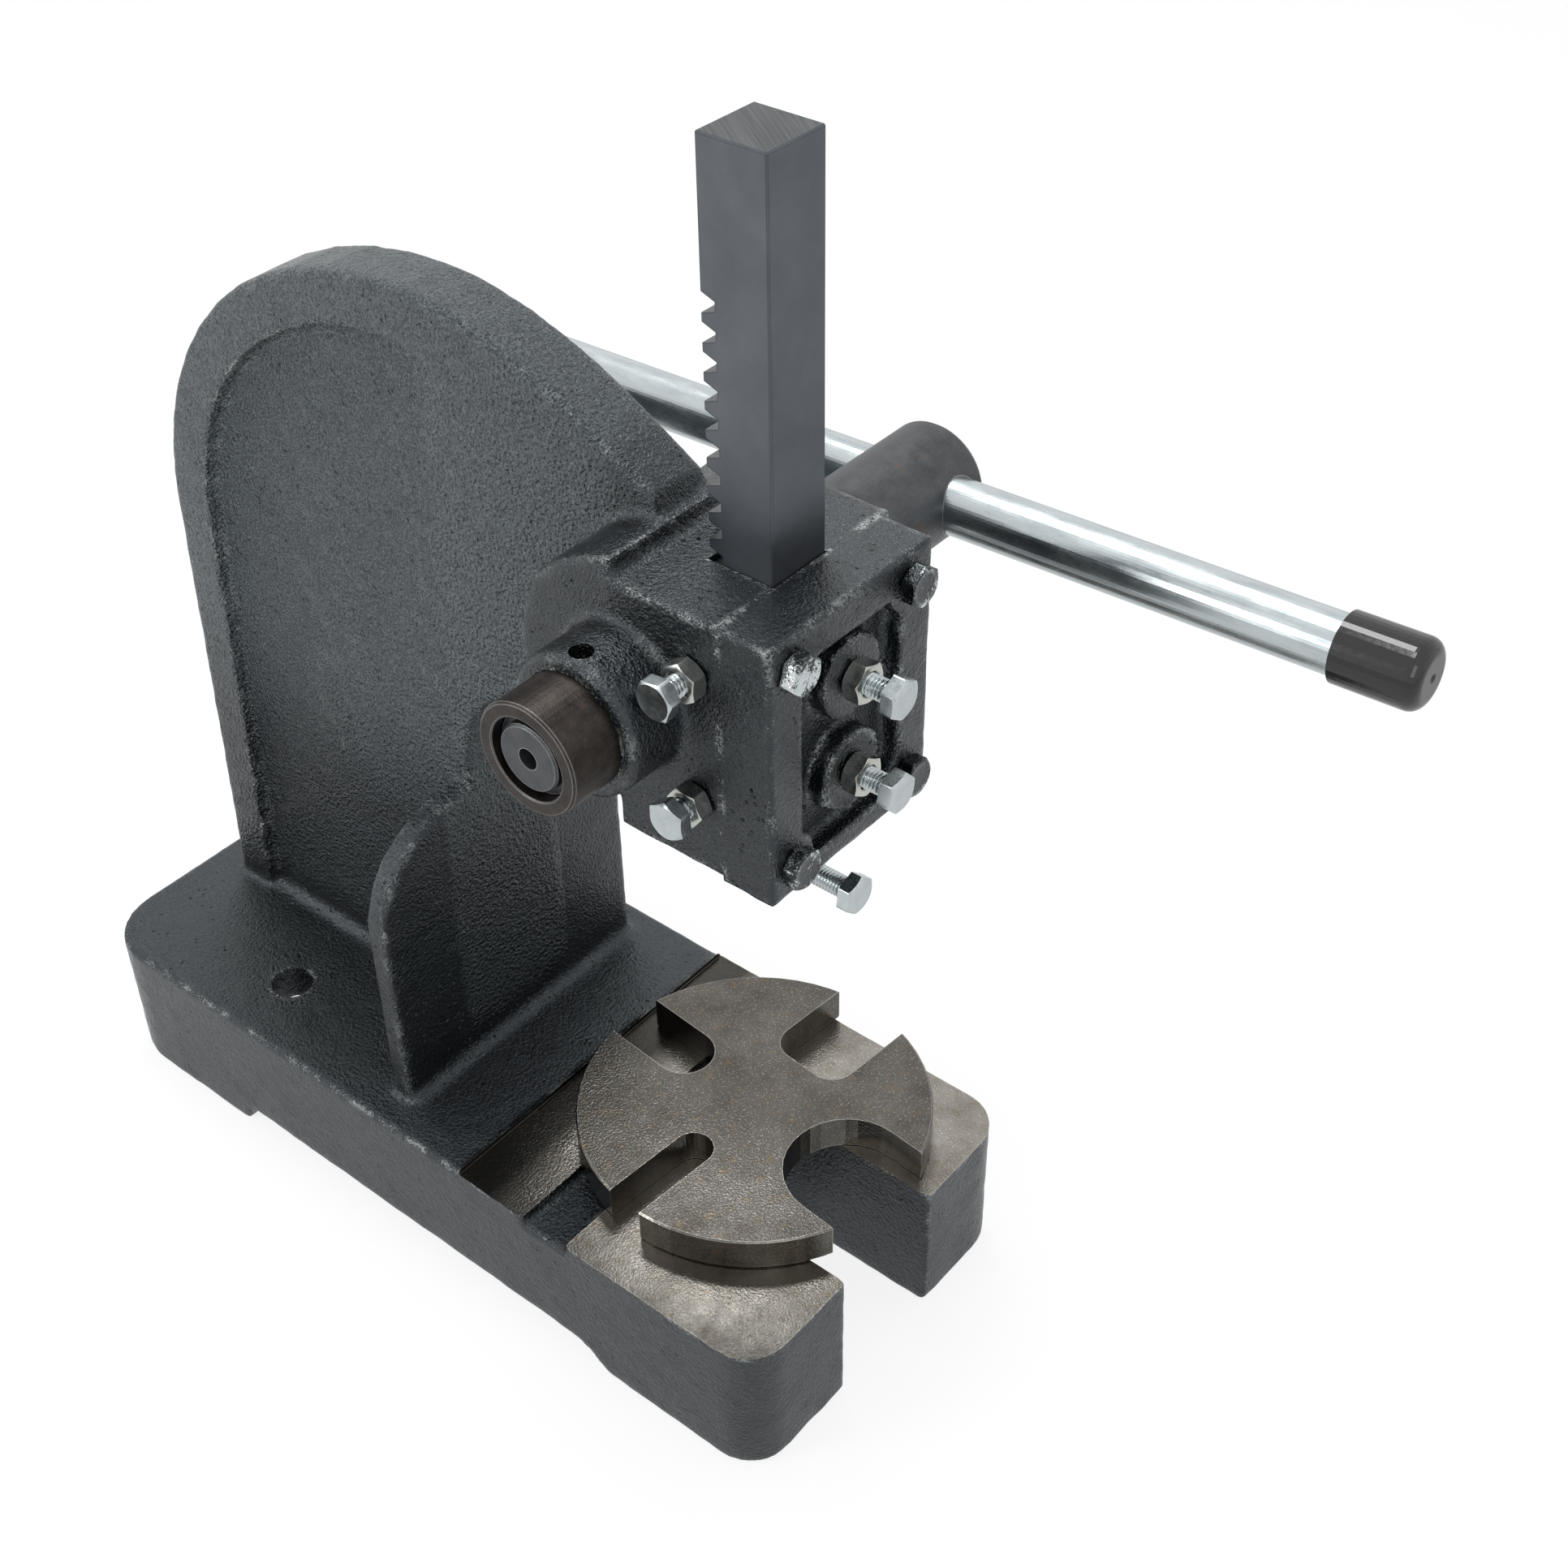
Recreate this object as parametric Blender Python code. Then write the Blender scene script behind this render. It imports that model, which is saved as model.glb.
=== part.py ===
import math

import bmesh
import bpy
from mathutils import Matrix, Vector
from mathutils.geometry import interpolate_bezier

# Bench arbor press: a cast C-frame, a square ram with rack teeth and a pinion turned by a lever.
# Metres, +Z up. The front of the press faces -Y and the lever hub is at +X. Pieces are shaped with
# the ram's axis on Z and the bench at Z 0. The assembly then moves them so that the origin is
# under the middle of the rear foot.

# Clearances
SEAT_GAP = 0.0003
RUNNING_GAP = 0.0001
TOOTH_PLAY = 0.0006
OVERRUN = 0.004

# Ram and rack
RAM_SIDE = 0.0254
RAM_LENGTH = 0.2643
RAM_REACH = 0.0315
RAM_EDGE = 0.0005
TOOL_BORE_RADIUS = 0.00635
TOOL_BORE_DEPTH = 0.030
CLAMP_RISE = 0.0082
GEAR_MODULE = 0.003
PINION_TEETH = 10
RACK_TOP_DROP = 0.0501
RACK_FOOT_MARGIN = 0.0440
PRESSURE_ANGLE = math.radians(20)
TIP_SHARE = 0.8
ROOT_SHARE = 1.05
TOOTH_SPACE_SHARE = 0.92
FLANK_STEPS = 7
ROLL_STEPS = 40
ROLL_STEP = math.radians(2)
HALVINGS = 30

# Base casting
BASE_WIDTH = 0.158
BASE_FRONT = 0.0535
BASE_REAR = 0.321
BASE_FRONT_CORNER = 0.018
BASE_REAR_CORNER = 0.027
BASE_EDGE = 0.0025
DECK_HEIGHT = 0.0655
TABLE_CUT = 0.0005
TRENCH_DEPTH = 0.0040
TRENCH_FRONT = 0.0395
TRENCH_WIDTH = 0.0225
STRIP_WIDTH = 0.0340
FORK_WIDTH = 0.052
FORK_CENTRE = 0.004
FOOT_RISE = 0.0105
FRONT_FOOT_END = 0.022
FRONT_FOOT_SLOPE = 0.018
FOOT_SLOPE_SHARE = 0.7
REAR_FOOT_LENGTH = 0.084
REAR_FOOT_SLOPE = 0.007
POCKET_WALL = 0.016
POCKET_FRONT = 0.058
POCKET_END_WALL = 0.020
POCKET_ROOF_THICKNESS = 0.016
POCKET_CORNER = 0.014
BOLT_HOLE_RADIUS = 0.0088
BOLT_HOLE_SPACING = 0.096
BOLT_HOLE_REAR_DISTANCE = 0.093

# Head casting
HEAD_LEFT = 0.0405
HEAD_RIGHT = 0.0445
HEAD_TOP = 0.350
HEAD_HEIGHT = 0.0965
HEAD_REAR = 0.0310
HEAD_EDGE = 0.0012
DRUM_STEP = 0.0210
DRUM_INSET = 0.0004
BOSS_WALL = 0.0055
LEFT_BOSS_LENGTH = 0.0240
RIGHT_BOSS_LENGTH = 0.0140
PINION_DROP = 0.0402
OIL_HOLE_RADIUS = 0.0040
OIL_HOLE_REACH = 0.0175

# Web plate behind the throat
WEB_WIDTH = 0.025
WEB_EDGE = 0.0022
WEB_HEEL = 0.018
WEB_LEAN = 0.010
WEB_FOOT_SINK = 0.010
WEB_SHOULDER_DROP = 0.095
WEB_REAR_PULL = 0.080
WEB_CROWN_PULL = 0.085
WEB_CROWN_Y = 0.1435
WEB_CROWN_RISE = 0.0503
WEB_FRONT_PULL = 0.044
WEB_NOSE_STEP = 0.0056
WEB_NOSE_LIFT = 0.0130
WEB_NOSE_RUN = 0.026
WEB_NOSE_RISE = 0.0155
RIM_WIDTH = 0.0205
PANEL_DEPTH = 0.0045
PANEL_FADE_START = 0.215
PANEL_FADE_END = 0.125
CURVE_STEPS = 14
FADE_STEPS = 10

# Cross rib that forms the throat face
RIB_FACE_Y = 0.138
RIB_THICKNESS = 0.010
RIB_WIDTH = 0.131
RIB_OFFSET = 0.0012
RIB_HEIGHT = 0.1295
RIB_CORNER = 0.044
RIB_EDGE = 0.0015
THROAT_RADIUS = 0.048
FOOT_COVE = 0.006

# Front cover
COVER_THICKNESS = 0.0204
COVER_DROP = 0.0028
COVER_EDGE = 0.0012
COVER_RIM = 0.0160
COVER_LOW_RIM = 0.0085
COVER_TOP_RIM = 0.0140
COVER_RECESS = 0.0070
RECESS_CORNER = 0.0050
RECESS_FILLET = 0.0025
PAD_RADIUS = 0.0105
ADJUSTER_BOSS_RADIUS = 0.0145
COVER_BOLT_INSET = 0.0110
COVER_BOLT_TOP_MARGIN = 0.0115
COVER_BOLT_LOW_MARGIN = 0.0090

# Hexagon screws and nuts, thread M8
SCREW_RADIUS = 0.0040
HEX_FLATS = 0.0130
SCREW_HEAD_HEIGHT = 0.0053
HEX_CHAMFER = 0.0008
CHAMFER_ANGLE = math.radians(30)
NUT_HEIGHT = 0.0065
NUT_CLEARANCE = 0.0012
COVER_BOLT_LENGTH = 0.035
COVER_BOLT_TURN = math.radians(13)
FRONT_ADJUSTER_TOP_MARGIN = 0.0310
FRONT_ADJUSTER_LOW_MARGIN = 0.0287
FRONT_ADJUSTER_REACH = 0.0200
FRONT_HIGH_TURN = math.radians(26)
FRONT_LOW_TURN = math.radians(12)
FRONT_NUT_TURN = math.radians(17)
SIDE_ADJUSTER_RISE = 0.0192
SIDE_ADJUSTER_DROP = 0.0292
SIDE_HIGH_REACH = 0.0177
SIDE_LOW_REACH = 0.0152
SIDE_HIGH_TURN = math.radians(8)
SIDE_LOW_TURN = math.radians(33)
SIDE_NUT_TURN = math.radians(21)
CLAMP_REACH = 0.0252
CLAMP_TIP_GAP = 0.0004
CLAMP_TURN = math.radians(20)

# Gib strips between the adjusting screws and the ram
GIB_THICKNESS = 0.0045
GIB_WIDTH = 0.0140
GIB_MARGIN = 0.0093
GIB_BUSH_CLEARANCE = 0.0013

# Pinion shaft, its bush and its ring
SHAFT_MARGIN = 0.0026
JOURNAL_RADIUS = 0.012
HUB_STEP = 0.0008
HUB_REACH = 0.0675
HUB_EDGE = 0.0018
TOOTH_SIDE_PLAY = 0.0031
LEVER_INSET = 0.0148
BUSH_REACH = 0.0203
BUSH_EDGE = 0.0008
MOUTH_STEP = 0.0027
MOUTH_DEPTH = 0.0060
SHAFT_SETBACK = 0.0008
CENTRE_RADIUS = 0.0037
CENTRE_DEPTH = 0.0090
RING_THICKNESS = 0.0012
RING_MOUTH_GAP = 0.0004
RING_SPLIT = 0.004
GROOVE_DEPTH = 0.0008
GROOVE_WIDTH = 0.0018

# Lever bar and its caps
LEVER_RADIUS = 0.0105
LEVER_FRONT = 0.1965
LEVER_REAR = 0.2140
LEVER_TILT = math.radians(2.2)
LEVER_EDGE = 0.001
CAP_WALL = 0.0016
CAP_LENGTH = 0.0300
CAP_END = 0.0018
CAP_ROUND = 0.0050
CAP_DIMPLE_RADIUS = 0.0018
CAP_DIMPLE_DEPTH = 0.0006

# Anvil plate lying on the table
ANVIL_RADIUS = 0.0702
ANVIL_THICKNESS = 0.0150
ANVIL_X = 0.0121
ANVIL_Y = 0.0215
ANVIL_TURN = math.radians(-5)
ANVIL_EDGE = 0.0006
WIDE_SLOT = 0.050
WIDE_SLOT_CENTRE = 0.0500
REAR_SLOT = 0.024
REAR_SLOT_CENTRE = 0.0392
SIDE_SLOT = 0.035
SIDE_SLOT_END = 0.0268
SIDE_SLOT_CORNER = 0.010
SMALL_SLOT = 0.016
SMALL_SLOT_CENTRE = 0.0336

# Facet counts and shading
HEX_SIDES = 6
ROUND_STEPS = 60
SMALL_STEPS = 24
CAP_FACETS = 40
CORNER_STEPS = 8
EDGE_STEPS = 2
SHARP_ANGLE = math.radians(32)

# Heights of the base, head, pinion and ram
TABLE_HEIGHT = DECK_HEIGHT - TABLE_CUT
TRENCH_HEIGHT = TABLE_HEIGHT - TRENCH_DEPTH
TRENCH_REAR = TRENCH_FRONT + TRENCH_WIDTH
STRIP_REAR = TRENCH_REAR + STRIP_WIDTH
POCKET_ROOF = DECK_HEIGHT - POCKET_ROOF_THICKNESS
ANVIL_TOP = TABLE_HEIGHT + ANVIL_THICKNESS
HEAD_BOTTOM = HEAD_TOP - HEAD_HEIGHT
COVER_BOTTOM = HEAD_BOTTOM - COVER_DROP
RAM_BOTTOM = HEAD_BOTTOM - RAM_REACH
RAM_TOP = RAM_BOTTOM + RAM_LENGTH
CLAMP_Z = RAM_BOTTOM + CLAMP_RISE
PINION_Z = HEAD_TOP - PINION_DROP

# Gear, shaft and the parts that lie round it
PITCH = math.pi * GEAR_MODULE
PITCH_RADIUS = GEAR_MODULE * PINION_TEETH / 2
TIP_HEIGHT = GEAR_MODULE * TIP_SHARE
ROOT_DEPTH = GEAR_MODULE * ROOT_SHARE
RACK_TOP = RAM_TOP - RACK_TOP_DROP
RACK_GAPS = int((RAM_LENGTH - RACK_TOP_DROP - RACK_FOOT_MARGIN) / PITCH) + 1
PINION_Y = RAM_SIDE / 2 - TIP_HEIGHT + PITCH_RADIUS
SHAFT_RADIUS = PITCH_RADIUS + TIP_HEIGHT + SHAFT_MARGIN
BORE_RADIUS = SHAFT_RADIUS + RUNNING_GAP
BOSS_RADIUS = SHAFT_RADIUS + BOSS_WALL
DRUM_RADIUS = BOSS_RADIUS + DRUM_STEP
HUB_RADIUS = SHAFT_RADIUS + HUB_STEP
HUB_END_X = HEAD_RIGHT + RIGHT_BOSS_LENGTH + HUB_REACH
LEVER_X = HUB_END_X - LEVER_INSET
TOOTH_HALF = RAM_SIDE / 2 + TOOTH_SIDE_PLAY
MOUTH_RADIUS = JOURNAL_RADIUS + MOUTH_STEP
GROOVE_RADIUS = JOURNAL_RADIUS - GROOVE_DEPTH
RING_INNER = GROOVE_RADIUS + SEAT_GAP
RING_OUTER = MOUTH_RADIUS - RING_MOUTH_GAP
OIL_HOLE_X = HEAD_LEFT + OIL_HOLE_REACH

# Cover, screws and gibs
HEAD_FACE_Y = RAM_SIDE / 2 + SEAT_GAP
COVER_BACK_Y = HEAD_FACE_Y + SEAT_GAP
COVER_FACE_Y = COVER_BACK_Y + COVER_THICKNESS
COVER_HALF = HEAD_LEFT
COVER_BOLT_X = COVER_HALF - COVER_BOLT_INSET
COVER_BOLT_HIGH_Z = HEAD_TOP - COVER_BOLT_TOP_MARGIN
COVER_BOLT_LOW_Z = HEAD_BOTTOM + COVER_BOLT_LOW_MARGIN
FRONT_ADJUSTER_HIGH_Z = HEAD_TOP - FRONT_ADJUSTER_TOP_MARGIN
FRONT_ADJUSTER_LOW_Z = HEAD_BOTTOM + FRONT_ADJUSTER_LOW_MARGIN
THREAD_RADIUS = SCREW_RADIUS + SEAT_GAP
HEX_REACH = HEX_FLATS / math.sqrt(3)
SIDE_ADJUSTER_HIGH_Z = PINION_Z + SIDE_ADJUSTER_RISE
SIDE_ADJUSTER_LOW_Z = PINION_Z - SIDE_ADJUSTER_DROP
SIDE_ADJUSTER_SWEEP = BOSS_RADIUS + HEX_REACH + NUT_CLEARANCE
SIDE_ADJUSTER_Y = PINION_Y - math.sqrt(SIDE_ADJUSTER_SWEEP ** 2 - SIDE_ADJUSTER_RISE ** 2)
GIB_CENTRE_Z = HEAD_TOP - HEAD_HEIGHT / 2
GIB_LENGTH = HEAD_HEIGHT - 2 * GIB_MARGIN
SIDE_GIB_REAR = PINION_Y - SHAFT_RADIUS - GIB_BUSH_CLEARANCE

# Web, rib and foot places
WEB_FOOT_Y = BASE_REAR - WEB_HEEL
WEB_SHOULDER_Y = WEB_FOOT_Y - WEB_LEAN
WEB_SHOULDER_Z = HEAD_TOP - WEB_SHOULDER_DROP
WEB_CROWN_Z = HEAD_TOP + WEB_CROWN_RISE
WEB_NOSE_Y = HEAD_REAR + WEB_NOSE_STEP
WEB_NOSE_Z = HEAD_TOP + WEB_NOSE_LIFT
RIB_TOP = DECK_HEIGHT + RIB_HEIGHT
REAR_FOOT_START = BASE_REAR - REAR_FOOT_LENGTH
BOLT_HOLE_Y = BASE_REAR - BOLT_HOLE_REAR_DISTANCE
ORIGIN_Y = BASE_REAR - POCKET_END_WALL / 2


# Shared shaping steps


def finish_object(name, bm, material=None):
    bmesh.ops.recalc_face_normals(bm, faces=bm.faces)
    mesh = bpy.data.meshes.new(name)
    bm.to_mesh(mesh)
    bm.free()
    obj = bpy.data.objects.new(name, mesh)
    bpy.context.collection.objects.link(obj)
    if material:
        mesh.materials.append(material)
    return obj


def shade(obj):
    obj.data.shade_smooth()
    obj.data.set_sharp_from_angle(angle=SHARP_ANGLE)


def surface(name, colour, roughness, metallic):
    material = bpy.data.materials.new(name)
    material.use_nodes = True
    shader = material.node_tree.nodes["Principled BSDF"]
    shader.inputs["Base Color"].default_value = (*colour, 1)
    shader.inputs["Roughness"].default_value = roughness
    shader.inputs["Metallic"].default_value = metallic
    material.diffuse_color = (*colour, 1)
    return material


def circle(centre, radius, steps):
    angles = [2 * math.pi * i / steps for i in range(steps)]
    return [(centre[0] + radius * math.cos(a), centre[1] + radius * math.sin(a)) for a in angles]


def arc(centre, radius, start, end, steps):
    angles = [math.radians(start + (end - start) * i / steps) for i in range(steps + 1)]
    return [(centre[0] + radius * math.cos(a), centre[1] + radius * math.sin(a)) for a in angles]


def rounded_box(low, high, front, rear):
    outline = arc((low[0] + front, low[1] + front), front, 180, 270, CORNER_STEPS)
    outline += arc((high[0] - front, low[1] + front), front, 270, 360, CORNER_STEPS)
    outline += arc((high[0] - rear, high[1] - rear), rear, 0, 90, CORNER_STEPS)
    outline += arc((low[0] + rear, high[1] - rear), rear, 90, 180, CORNER_STEPS)
    return outline


def prism(outline, low, high, axis):
    bm = bmesh.new()
    order = {"X": (2, 0, 1), "Y": (0, 2, 1), "Z": (0, 1, 2)}[axis]
    corners = []
    for point in outline:
        values = (point[0], point[1], low)
        corners.append(bm.verts.new([values[k] for k in order]))
    face = bm.faces.new(corners)
    grown = bmesh.ops.extrude_face_region(bm, geom=[face])
    moved = [item for item in grown["geom"] if isinstance(item, bmesh.types.BMVert)]
    along = Vector([(high - low) if k == 2 else 0 for k in order])
    bmesh.ops.translate(bm, vec=along, verts=moved)
    return bm


def box(low, high):
    return prism([(low[0], low[1]), (high[0], low[1]), (high[0], high[1]), (low[0], high[1])],
                 low[2], high[2], "Z")


def round_edges(bm, width, chosen=lambda edge: True, steps=EDGE_STEPS):
    bmesh.ops.recalc_face_normals(bm, faces=bm.faces)
    bm.normal_update()
    sharp = [e for e in bm.edges if e.calc_face_angle(0) > SHARP_ANGLE and chosen(e)]
    bmesh.ops.bevel(bm, geom=sharp, offset=width, offset_type="OFFSET", segments=steps,
                    profile=0.5, affect="EDGES", clamp_overlap=True)
    return bm


def level(edge, axis, value):
    return all(abs(v.co[axis] - value) < SEAT_GAP / 2 for v in edge.verts)


def turned(profile, steps=ROUND_STEPS):
    # Turned form about the local X axis, from (distance along, radius) points
    bm = bmesh.new()
    rings = []
    for along, radius in profile:
        if radius == 0:
            rings.append([bm.verts.new((along, 0, 0))])
        else:
            rings.append([bm.verts.new((along, y, z)) for y, z in circle((0, 0), radius, steps)])
    pairs = list(zip(rings, rings[1:]))
    if len(rings[0]) > 1:
        pairs.append((rings[-1], rings[0]))
    for first, second in pairs:
        for i in range(steps):
            j = (i + 1) % steps
            if len(first) == 1:
                bm.faces.new((first[0], second[i], second[j]))
            elif len(second) == 1:
                bm.faces.new((first[i], second[0], first[j]))
            else:
                bm.faces.new((first[i], second[i], second[j], first[j]))
    return bm


def combine(target, bm, operation, matrix=None):
    if matrix:
        bmesh.ops.transform(bm, matrix=matrix, verts=bm.verts)
    tool = finish_object("tool", bm)
    change = target.modifiers.new("change", "BOOLEAN")
    change.operation = operation
    change.solver = "EXACT"
    change.object = tool
    depsgraph = bpy.context.evaluated_depsgraph_get()
    result = bpy.data.meshes.new_from_object(target.evaluated_get(depsgraph))
    old = target.data
    target.modifiers.clear()
    target.data = result
    bpy.data.meshes.remove(old)
    bpy.data.objects.remove(tool)
    return target


def joined(target, bm, matrix=None):
    return combine(target, bm, "UNION", matrix)


def cut(target, bm, matrix=None):
    return combine(target, bm, "DIFFERENCE", matrix)


def cove(corner, across, up, radius, low, high, axis):
    # Hollow-faced strip that softens the inside corner between two cast walls
    hollow = [(corner[0] + across * radius * (1 - math.sin(a)), corner[1] + up * radius * (1 - math.cos(a)))
              for a in [math.pi / 2 * i / CORNER_STEPS for i in range(CORNER_STEPS + 1)]]
    back = radius / 2
    outline = [(corner[0] - across * back, corner[1] - up * back)]
    outline += [(hollow[0][0], corner[1] - up * back)] + hollow
    outline += [(corner[0] - across * back, hollow[-1][1])]
    return prism(outline, low, high, axis)


# Frame casting


def base_block():
    half = BASE_WIDTH / 2
    outline = arc((-half + BASE_FRONT_CORNER, -BASE_FRONT + BASE_FRONT_CORNER), BASE_FRONT_CORNER,
                  180, 270, CORNER_STEPS)
    fork = FORK_WIDTH / 2
    outline += [(-fork, -BASE_FRONT)]
    outline += arc((0, FORK_CENTRE), fork, 180, 0, 2 * CORNER_STEPS)
    outline += [(fork, -BASE_FRONT)]
    outline += arc((half - BASE_FRONT_CORNER, -BASE_FRONT + BASE_FRONT_CORNER), BASE_FRONT_CORNER,
                   270, 360, CORNER_STEPS)
    outline += arc((half - BASE_REAR_CORNER, BASE_REAR - BASE_REAR_CORNER), BASE_REAR_CORNER,
                   0, 90, CORNER_STEPS)
    outline += arc((-half + BASE_REAR_CORNER, BASE_REAR - BASE_REAR_CORNER), BASE_REAR_CORNER,
                   90, 180, CORNER_STEPS)
    bm = prism(outline, 0, DECK_HEIGHT, "Z")
    inside = FORK_WIDTH / 2 + SEAT_GAP
    round_edges(bm, BASE_EDGE, lambda e: level(e, 2, DECK_HEIGHT) and e.verts[0].co.y > STRIP_REAR)
    round_edges(bm, BASE_EDGE, lambda e: level(e, 2, 0) and max(abs(v.co.x) for v in e.verts) > inside)
    return bm


def web_outline():
    rear = interpolate_bezier(
        (WEB_SHOULDER_Y, WEB_SHOULDER_Z, 0), (WEB_SHOULDER_Y, WEB_SHOULDER_Z + WEB_REAR_PULL, 0),
        (WEB_CROWN_Y + WEB_CROWN_PULL, WEB_CROWN_Z, 0), (WEB_CROWN_Y, WEB_CROWN_Z, 0), CURVE_STEPS)
    front = interpolate_bezier(
        (WEB_CROWN_Y, WEB_CROWN_Z, 0), (WEB_CROWN_Y - WEB_FRONT_PULL, WEB_CROWN_Z, 0),
        (WEB_NOSE_Y + WEB_NOSE_RUN, WEB_NOSE_Z + WEB_NOSE_RISE, 0), (WEB_NOSE_Y, WEB_NOSE_Z, 0),
        CURVE_STEPS)
    return [(p[0], p[1]) for p in rear], [(p[0], p[1]) for p in front][1:]


def web_plate():
    rear, front = web_outline()
    foot = DECK_HEIGHT - WEB_FOOT_SINK
    throat_top = HEAD_BOTTOM + SEAT_GAP
    outline = [(WEB_FOOT_Y, foot)] + rear + front
    outline += [(HEAD_REAR - HEAD_EDGE, HEAD_TOP - HEAD_EDGE), (HEAD_REAR - HEAD_EDGE, throat_top)]
    outline += arc((RIB_FACE_Y - THROAT_RADIUS, throat_top - THROAT_RADIUS), THROAT_RADIUS,
                   90, 0, CORNER_STEPS)
    outline += [(RIB_FACE_Y + SEAT_GAP, foot)]
    half = WEB_WIDTH / 2
    bm = prism(outline, -half, half, "X")
    round_edges(bm, WEB_EDGE, lambda e: (level(e, 0, half) or level(e, 0, -half))
                and min(v.co.y for v in e.verts) > WEB_NOSE_Y - SEAT_GAP
                and max(v.co.z for v in e.verts) > DECK_HEIGHT)
    return finish_object("press_frame", bm)


def inset_points(points, width):
    moved = []
    for i, point in enumerate(points):
        before = points[max(i - 1, 0)]
        after = points[min(i + 1, len(points) - 1)]
        run = Vector((after[0] - before[0], after[1] - before[1])).normalized()
        moved.append((point[0] - run.y * width, point[1] + run.x * width))
    return moved


def panel_recess(side):
    rear, front = web_outline()
    edge = inset_points([(WEB_FOOT_Y, DECK_HEIGHT)] + rear + front, RIM_WIDTH)
    edge = [p for p in edge if p[0] > PANEL_FADE_END]
    foot = DECK_HEIGHT - WEB_FOOT_SINK / 2
    outline = [(edge[0][0], foot)] + edge + [(PANEL_FADE_END, foot)]
    floor = side * (WEB_WIDTH / 2 - PANEL_DEPTH)
    outside = side * (WEB_WIDTH / 2 + OVERRUN)
    recess = finish_object("recess", prism(outline, min(floor, outside), max(floor, outside), "X"))
    ramp = [(floor - side * OVERRUN, PANEL_FADE_START), (floor - side * OVERRUN, PANEL_FADE_END - OVERRUN),
            (outside, PANEL_FADE_END - OVERRUN)]
    for i in range(FADE_STEPS + 1):
        share = i / FADE_STEPS
        rise = (1 + math.cos(math.pi * share)) / 2
        ramp.append((floor + side * PANEL_DEPTH * rise + side * SEAT_GAP * (1 - share),
                     PANEL_FADE_END + (PANEL_FADE_START - PANEL_FADE_END) * share))
    cut(recess, prism(ramp, 0, WEB_CROWN_Z + OVERRUN, "Z"))
    bm = bmesh.new()
    bm.from_mesh(recess.data)
    bpy.data.objects.remove(recess)
    return bm


def throat_rib():
    left = RIB_OFFSET - RIB_WIDTH / 2
    right = RIB_OFFSET + RIB_WIDTH / 2
    low = DECK_HEIGHT - WEB_FOOT_SINK
    outline = [(left, low), (right, low)]
    outline += arc((right - RIB_CORNER, RIB_TOP - RIB_CORNER), RIB_CORNER, 0, 90, CORNER_STEPS)
    outline += arc((left + RIB_CORNER, RIB_TOP - RIB_CORNER), RIB_CORNER, 90, 180, CORNER_STEPS)
    bm = prism(outline, RIB_FACE_Y, RIB_FACE_Y + RIB_THICKNESS, "Y")
    return round_edges(bm, RIB_EDGE, lambda e: max(v.co.z for v in e.verts) > DECK_HEIGHT)


def head_block():
    bm = box((-HEAD_LEFT, -HEAD_FACE_Y, HEAD_BOTTOM), (HEAD_RIGHT, HEAD_REAR, HEAD_TOP))
    return round_edges(bm, HEAD_EDGE, lambda e: min(v.co.y for v in e.verts) > -HEAD_FACE_Y + SEAT_GAP
                       or max(v.co.y for v in e.verts) > HEAD_REAR - SEAT_GAP)


def drum():
    bm = prism(circle((PINION_Y, PINION_Z), DRUM_RADIUS, ROUND_STEPS),
               -HEAD_LEFT + DRUM_INSET, HEAD_RIGHT - DRUM_INSET, "X")
    round_edges(bm, HEAD_EDGE)
    drum_part = finish_object("drum", bm)
    flat = box((-HEAD_LEFT - OVERRUN, -DRUM_RADIUS, HEAD_TOP - HEAD_EDGE),
               (HEAD_RIGHT + OVERRUN, HEAD_REAR - HEAD_EDGE, HEAD_TOP + DRUM_RADIUS))
    cut(drum_part, flat)
    front = box((-HEAD_LEFT - OVERRUN, -DRUM_RADIUS, 0), (HEAD_RIGHT + OVERRUN, 0, HEAD_TOP + DRUM_RADIUS))
    cut(drum_part, front)
    result = bmesh.new()
    result.from_mesh(drum_part.data)
    bpy.data.objects.remove(drum_part)
    return result


def shaft_boss(low, high):
    bm = prism(circle((PINION_Y, PINION_Z), BOSS_RADIUS, ROUND_STEPS), low, high, "X")
    return round_edges(bm, HEAD_EDGE)


def hole(radius, centre, low, high, axis, steps=SMALL_STEPS):
    return prism(circle(centre, radius, steps), low, high, axis)


def frame_feet(frame):
    half = BASE_WIDTH / 2 + OVERRUN
    relief = [(FRONT_FOOT_END, -OVERRUN), (FRONT_FOOT_END, 0),
              (FRONT_FOOT_END + FRONT_FOOT_SLOPE / 2, FOOT_RISE * FOOT_SLOPE_SHARE),
              (FRONT_FOOT_END + FRONT_FOOT_SLOPE, FOOT_RISE), (REAR_FOOT_START - REAR_FOOT_SLOPE, FOOT_RISE),
              (REAR_FOOT_START, 0), (REAR_FOOT_START, -OVERRUN)]
    cut(frame, prism(relief, -half, half, "X"))
    inner = BASE_WIDTH / 2 - POCKET_WALL
    pocket = rounded_box((-inner, POCKET_FRONT), (inner, BASE_REAR - POCKET_END_WALL),
                         POCKET_CORNER, POCKET_CORNER)
    cut(frame, prism(pocket, -OVERRUN, POCKET_ROOF, "Z"))
    for side in (-1, 1):
        centre = (side * BOLT_HOLE_SPACING / 2, BOLT_HOLE_Y)
        cut(frame, hole(BOLT_HOLE_RADIUS, centre, -OVERRUN, DECK_HEIGHT + OVERRUN, "Z"))


def frame_table(frame):
    half = BASE_WIDTH / 2 + OVERRUN
    top = DECK_HEIGHT + OVERRUN
    cut(frame, box((-half, -BASE_FRONT - OVERRUN, TABLE_HEIGHT), (half, STRIP_REAR, top)))
    cut(frame, box((-half, TRENCH_FRONT, TRENCH_HEIGHT), (half, TRENCH_REAR, top)))


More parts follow.
